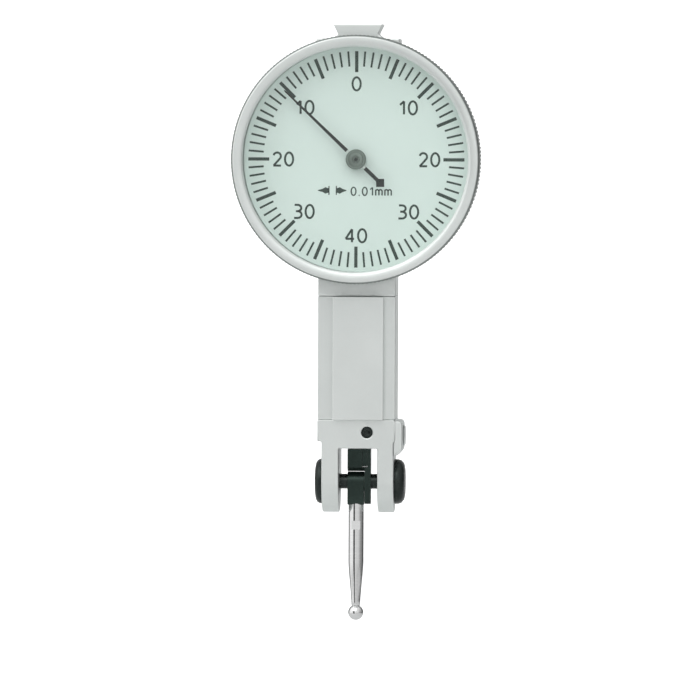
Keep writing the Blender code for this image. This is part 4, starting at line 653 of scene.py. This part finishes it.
# Stylus: a slim turned shank with two spanner flats, brazed to a ball.
shankShape = {
    "top": -60.7, "bottom": -75.26, "radius": 1.0, "tipRadius": 0.58,
    "taperStart": -69.6, "straightShare": 0.55,
    "flatTop": -64.2, "flatBottom": -65.3, "flatHalf": 0.82, "flatLip": 0.012, "flatRings": 8,
    "taperRings": 11, "cornerDegrees": 14, "steps": 96,
}
ballShape = {"radius": 1.0, "centre": -76.1, "rings": 28, "steps": 72}


def makeShank():
    shape = shankShape
    full, tip, top, low = (shape[key] for key in ("radius", "tipRadius", "top", "bottom"))
    flatTop, flatBottom, lip = shape["flatTop"], shape["flatBottom"], shape["flatLip"]
    profile = [(0.0, top), (full - 0.06, top), (full, top - 0.06), (full, -62.2), (full, flatTop + lip)]
    for step in range(shape["flatRings"] + 1):
        share = step / shape["flatRings"]
        profile.append((full, flatTop - lip - share * (flatTop - flatBottom - 2 * lip)))
    profile += [(full, flatBottom - lip), (full, -67.5)]
    for step in range(shape["taperRings"] + 1):
        share = step / shape["taperRings"]
        curve, straight = share * share * (3 - 2 * share), shape["straightShare"]
        ease = curve * (1 - straight) + share * straight
        down = shape["taperStart"] + (low + 0.25 - shape["taperStart"]) * share
        profile.append((full + (tip - full) * ease, down))
    profile += [(tip - 0.03, low + 0.1), (tip - 0.1, low), (0.0, low)]
    mesh = turned("stylusShank", profile, stylusAxis, "z", shape["steps"])
    half = shape["flatHalf"] * mm
    for vert in mesh.vertices:  # the two spanner flats face front and back
        if flatBottom < vert.co.z / mm < flatTop:
            vert.co.y = max(-half, min(half, vert.co.y))
    mesh.set_sharp_from_angle(angle=math.radians(shape["cornerDegrees"]))
    showPiece("stylusShank", mesh, polishedChrome, "stylus", ["stylus_shank"])


def makeBall():
    shape = ballShape
    profile = []
    for step in range(shape["rings"] + 1):
        angle = math.radians(-90 + 180 * step / shape["rings"])
        reach, along = shape["radius"] * math.cos(angle), shape["radius"] * math.sin(angle)
        profile.append((max(reach, 0.0), shape["centre"] + along))
    mesh = turned("contactBall", profile, stylusAxis, "z", shape["steps"])
    showPiece("contactBall", mesh, polishedChrome, "stylus", ["contact_ball"])


makeShank()
makeBall()
print("stylus made")

# The body, fork and covers keep their CAD shape, with their edges broken by this many millimetres.
finishes = {
    "head_case": (satinHardChrome, "satin_chrome", 0.14),
    "back_cover": (turnedSatinChrome, "satin_chrome", 0.12),
    "stem_body": (satinHardChrome, "satin_chrome", 0.1),
    "stem_cover": (satinHardChrome, "satin_chrome", 0.1),
    "fork_block": (satinHardChrome, "satin_chrome", 0.16),
    "pivot_cap_left": (blackOxideSteel, "black_oxide", 0.1),
    "pivot_cap_right": (blackOxideSteel, "black_oxide", 0.1),
    "sector_bearing_plug": (satinHardChrome, "satin_chrome", 0.08),
    "swing_lever": (oiledBlackSteel, "black_oxide", 0.0),
    "stylus_holder": (oiledBlackSteel, "black_oxide", 0.03),
    "set_screw": (blackOxideSteel, "black_oxide", 0.03),
    "pivot_axle": (blackOxideSteel, "black_oxide", 0.0),
}
for nodeName, (material, slotName, edgeMm) in finishes.items():
    softened(nodeName, material, edgeMm)
for nodeName in sorted(nodes):
    if nodeName.startswith(("back_cover_screw", "stem_cover_screw")):
        softened(nodeName, metals["screwSteel"], 0.04)
print("outer parts finished")

# The parts inside keep their CAD shape and get their real metal. The first start that fits a name counts.
innerFinishes = (
    (metals["screwSteel"], ("plate_screw", "bridge_screw", "centre_pinion", "cross_shaft", "sector_pinion",
                            "drive_pin", "sector_arbor")),
    (metals["clockBrass"], ("retaining_ring", "movement_plate", "bridge_", "crown_", "hairspring_")),
    (metals["springBronze"], ("hairspring", "return_spring")),
    (metals["bearingBronze"], ("pivot_bearing", "sector_bearing_bush")),
    (syntheticRuby, ("jewel",)),
    (oiledBlackSteel, ("sector_lever", "friction_washer", "centre_arbor")),
)
for nodeName, node in nodes.items():
    if node.hide_render:
        continue
    found = next(material for material, starts in innerFinishes if nodeName.startswith(starts))
    node.data.materials.clear()
    node.data.materials.append(found)
    print("  inside:", nodeName, found.name)

# Studio: a pale floor that sweeps up far behind, a broad soft key light and a pale room.
studio = {
    "floorDrop": 220, "sweepStart": 1000, "wall": 1500, "wallTop": 1600, "halfWidth": 1100, "front": -700,
    "sweepSteps": 12, "light": "#e4e5e5", "shade": "#dcdddd", "fibreMm": 40,
    "wallGlow": 0.7, "glowFrom": 700, "glowTo": 1100,
}
lights = {
    "keyLight": {"place": (-0.3, -0.7, 0.8), "size": 1.3, "power": 5.6},
    "fillLight": {"place": (0.7, -0.9, 0.1), "size": 0.9, "power": 0.3},
}
lightTarget = (0, 0, -0.04)


def makeFloor():
    low = cadBox[0][2] - studio["floorDrop"] * mm
    reach, wall = studio["sweepStart"] * mm, studio["wall"] * mm
    outline = [(studio["front"] * mm, low), (reach, low)]
    for step in range(1, studio["sweepSteps"] + 1):
        angle = math.pi / 2 * step / studio["sweepSteps"]
        rise = (wall - reach) * (1 - math.cos(angle))
        outline.append((reach + (wall - reach) * math.sin(angle), low + rise))
    outline.append((wall, studio["wallTop"] * mm))
    half = studio["halfWidth"] * mm
    verts = [(x, y, z) for y, z in outline for x in (-half, half)]
    faces = [(2 * i, 2 * i + 1, 2 * i + 3, 2 * i + 2) for i in range(len(outline) - 1)]
    mesh = bpy.data.meshes.new("paleFloor")
    mesh.from_pydata(verts, [], faces)
    mesh.shade_smooth()
    settings = {"Roughness": 0.8, "Emission Color": linear("#ffffff")}
    paper, tree, surface = newMaterial("studioPaper", settings)
    place = addNode(tree, "TexCoord")
    depth = addNode(tree, "SeparateXYZ", {}, {0: place.outputs["Object"]})
    lit = addNode(tree, "MapRange", {"From Min": studio["glowFrom"] * mm, "From Max": studio["glowTo"] * mm,
                                     "To Min": 0.0, "To Max": studio["wallGlow"]},
                  {"Value": depth.outputs["Y"]})  # the sweep is lit from behind, the floor is not
    path = addNode(tree, "LightPath")
    shown = addNode(tree, "Math", {"operation": "MULTIPLY"},
                    {0: lit.outputs[0], 1: path.outputs["Is Camera Ray"]})
    fibre = addNode(tree, "TexNoise", {"Scale": perMetre(studio["fibreMm"])},
                    {"Vector": place.outputs["Object"]})
    tone = addNode(tree, "Mix", {"data_type": "RGBA", 6: linear(studio["shade"]),
                                 7: linear(studio["light"])}, {0: fibre.outputs["Fac"]})
    tree.links.new(shown.outputs[0], surface.inputs["Emission Strength"])
    tree.links.new(tone.outputs[2], surface.inputs["Base Color"])
    mesh.materials.append(paper)
    floor = bpy.data.objects.new("paleFloor", mesh)
    bpy.context.scene.collection.objects.link(floor)


def aimed(item, place, target):
    item.location = place
    item.rotation_euler = (Vector(target) - Vector(place)).to_track_quat("-Z", "Y").to_euler()


def addLight(name, look):
    light = bpy.data.lights.new(name, "AREA")
    light.shape = "DISK"
    light.size = look["size"]
    light.energy = look["power"]
    holder = bpy.data.objects.new(name, light)
    bpy.context.scene.collection.objects.link(holder)
    aimed(holder, look["place"], lightTarget)


makeFloor()
for name, look in lights.items():
    addLight(name, look)

# Room light: brightest from the upper left and dark behind the sweep, which darkens the rims of round
# parts, with one dark upright strip beside the camera that gives round chrome its dark line.
room = {
    "bright": 1.38, "dim": 0.1, "from": (-0.62, -0.3, 0.72),
    "strip": (-0.45, -0.893, 0.0), "stripLevel": 0.05, "stripEdge": (0.955, 0.995),
    "behindLevel": 0.18, "behindEdge": (0.15, 0.55),
}
world = bpy.data.worlds.new("studioRoom")
bpy.context.scene.world = world
world.use_nodes = True
tree = world.node_tree
tree.nodes.clear()
way = addNode(tree, "TexCoord")
lean = addNode(tree, "VectorMath", {"operation": "DOT_PRODUCT", 1: room["from"]},
               {0: way.outputs["Generated"]})
level = addNode(tree, "MapRange", {"From Min": -1.0, "From Max": 1.0, "To Min": room["dim"],
                                   "To Max": room["bright"]}, {"Value": lean.outputs["Value"]})
upright = addNode(tree, "VectorMath", {"operation": "MULTIPLY", 1: (1, 1, 0)}, {0: way.outputs["Generated"]})
sideways = addNode(tree, "VectorMath", {"operation": "NORMALIZE"}, {0: upright.outputs[0]})
near = addNode(tree, "VectorMath", {"operation": "DOT_PRODUCT", 1: room["strip"]}, {0: sideways.outputs[0]})
depth = addNode(tree, "SeparateXYZ", {}, {0: way.outputs["Generated"]})


def dimmed(source, band, lowLevel):
    # full light that falls smoothly to lowLevel as the source crosses the band
    return addNode(tree, "MapRange", {"interpolation_type": "SMOOTHSTEP", "From Min": band[0],
                                      "From Max": band[1], "To Min": 1.0, "To Max": lowLevel},
                   {"Value": source})


strip = dimmed(near.outputs["Value"], room["stripEdge"], room["stripLevel"])
behind = dimmed(depth.outputs["Y"], room["behindEdge"], room["behindLevel"])
front = addNode(tree, "Math", {"operation": "MULTIPLY"}, {0: level.outputs[0], 1: strip.outputs[0]})
strength = addNode(tree, "Math", {"operation": "MULTIPLY"}, {0: front.outputs[0], 1: behind.outputs[0]})
glow = addNode(tree, "Background", {"Color": linear("#ffffff")}, {"Strength": strength.outputs[0]})
addNode(tree, "OutputWorld", {}, {"Surface": glow.outputs[0]})

# Camera: a long lens almost square to the dial, a little to its right and above it.
view = {
    "distance": 950, "across": 90.0, "sensor": 36, "clip": (0.01, 20),
    "yaw": 3.0, "pitch": 2.0, "roll": 0.25, "aim": (-0.7, -6.0, -41.9),
}
camera = bpy.data.objects.new("studioCamera", bpy.data.cameras.new("studioCamera"))
bpy.context.scene.collection.objects.link(camera)
camera.data.sensor_width = view["sensor"]
camera.data.lens = view["sensor"] * view["distance"] / view["across"]
camera.data.clip_start, camera.data.clip_end = view["clip"]
aim = Vector(view["aim"]) * mm
yaw, pitch = math.radians(view["yaw"]), math.radians(view["pitch"])
away = Vector((math.sin(yaw) * math.cos(pitch), -math.cos(yaw) * math.cos(pitch), math.sin(pitch)))
aimed(camera, aim + away * view["distance"] * mm, aim)
camera.rotation_euler.rotate_axis("Z", math.radians(view["roll"]))
bpy.context.scene.camera = camera
bpy.context.scene.view_settings.view_transform = "Standard"
print("studio set")

bpy.context.view_layer.update()
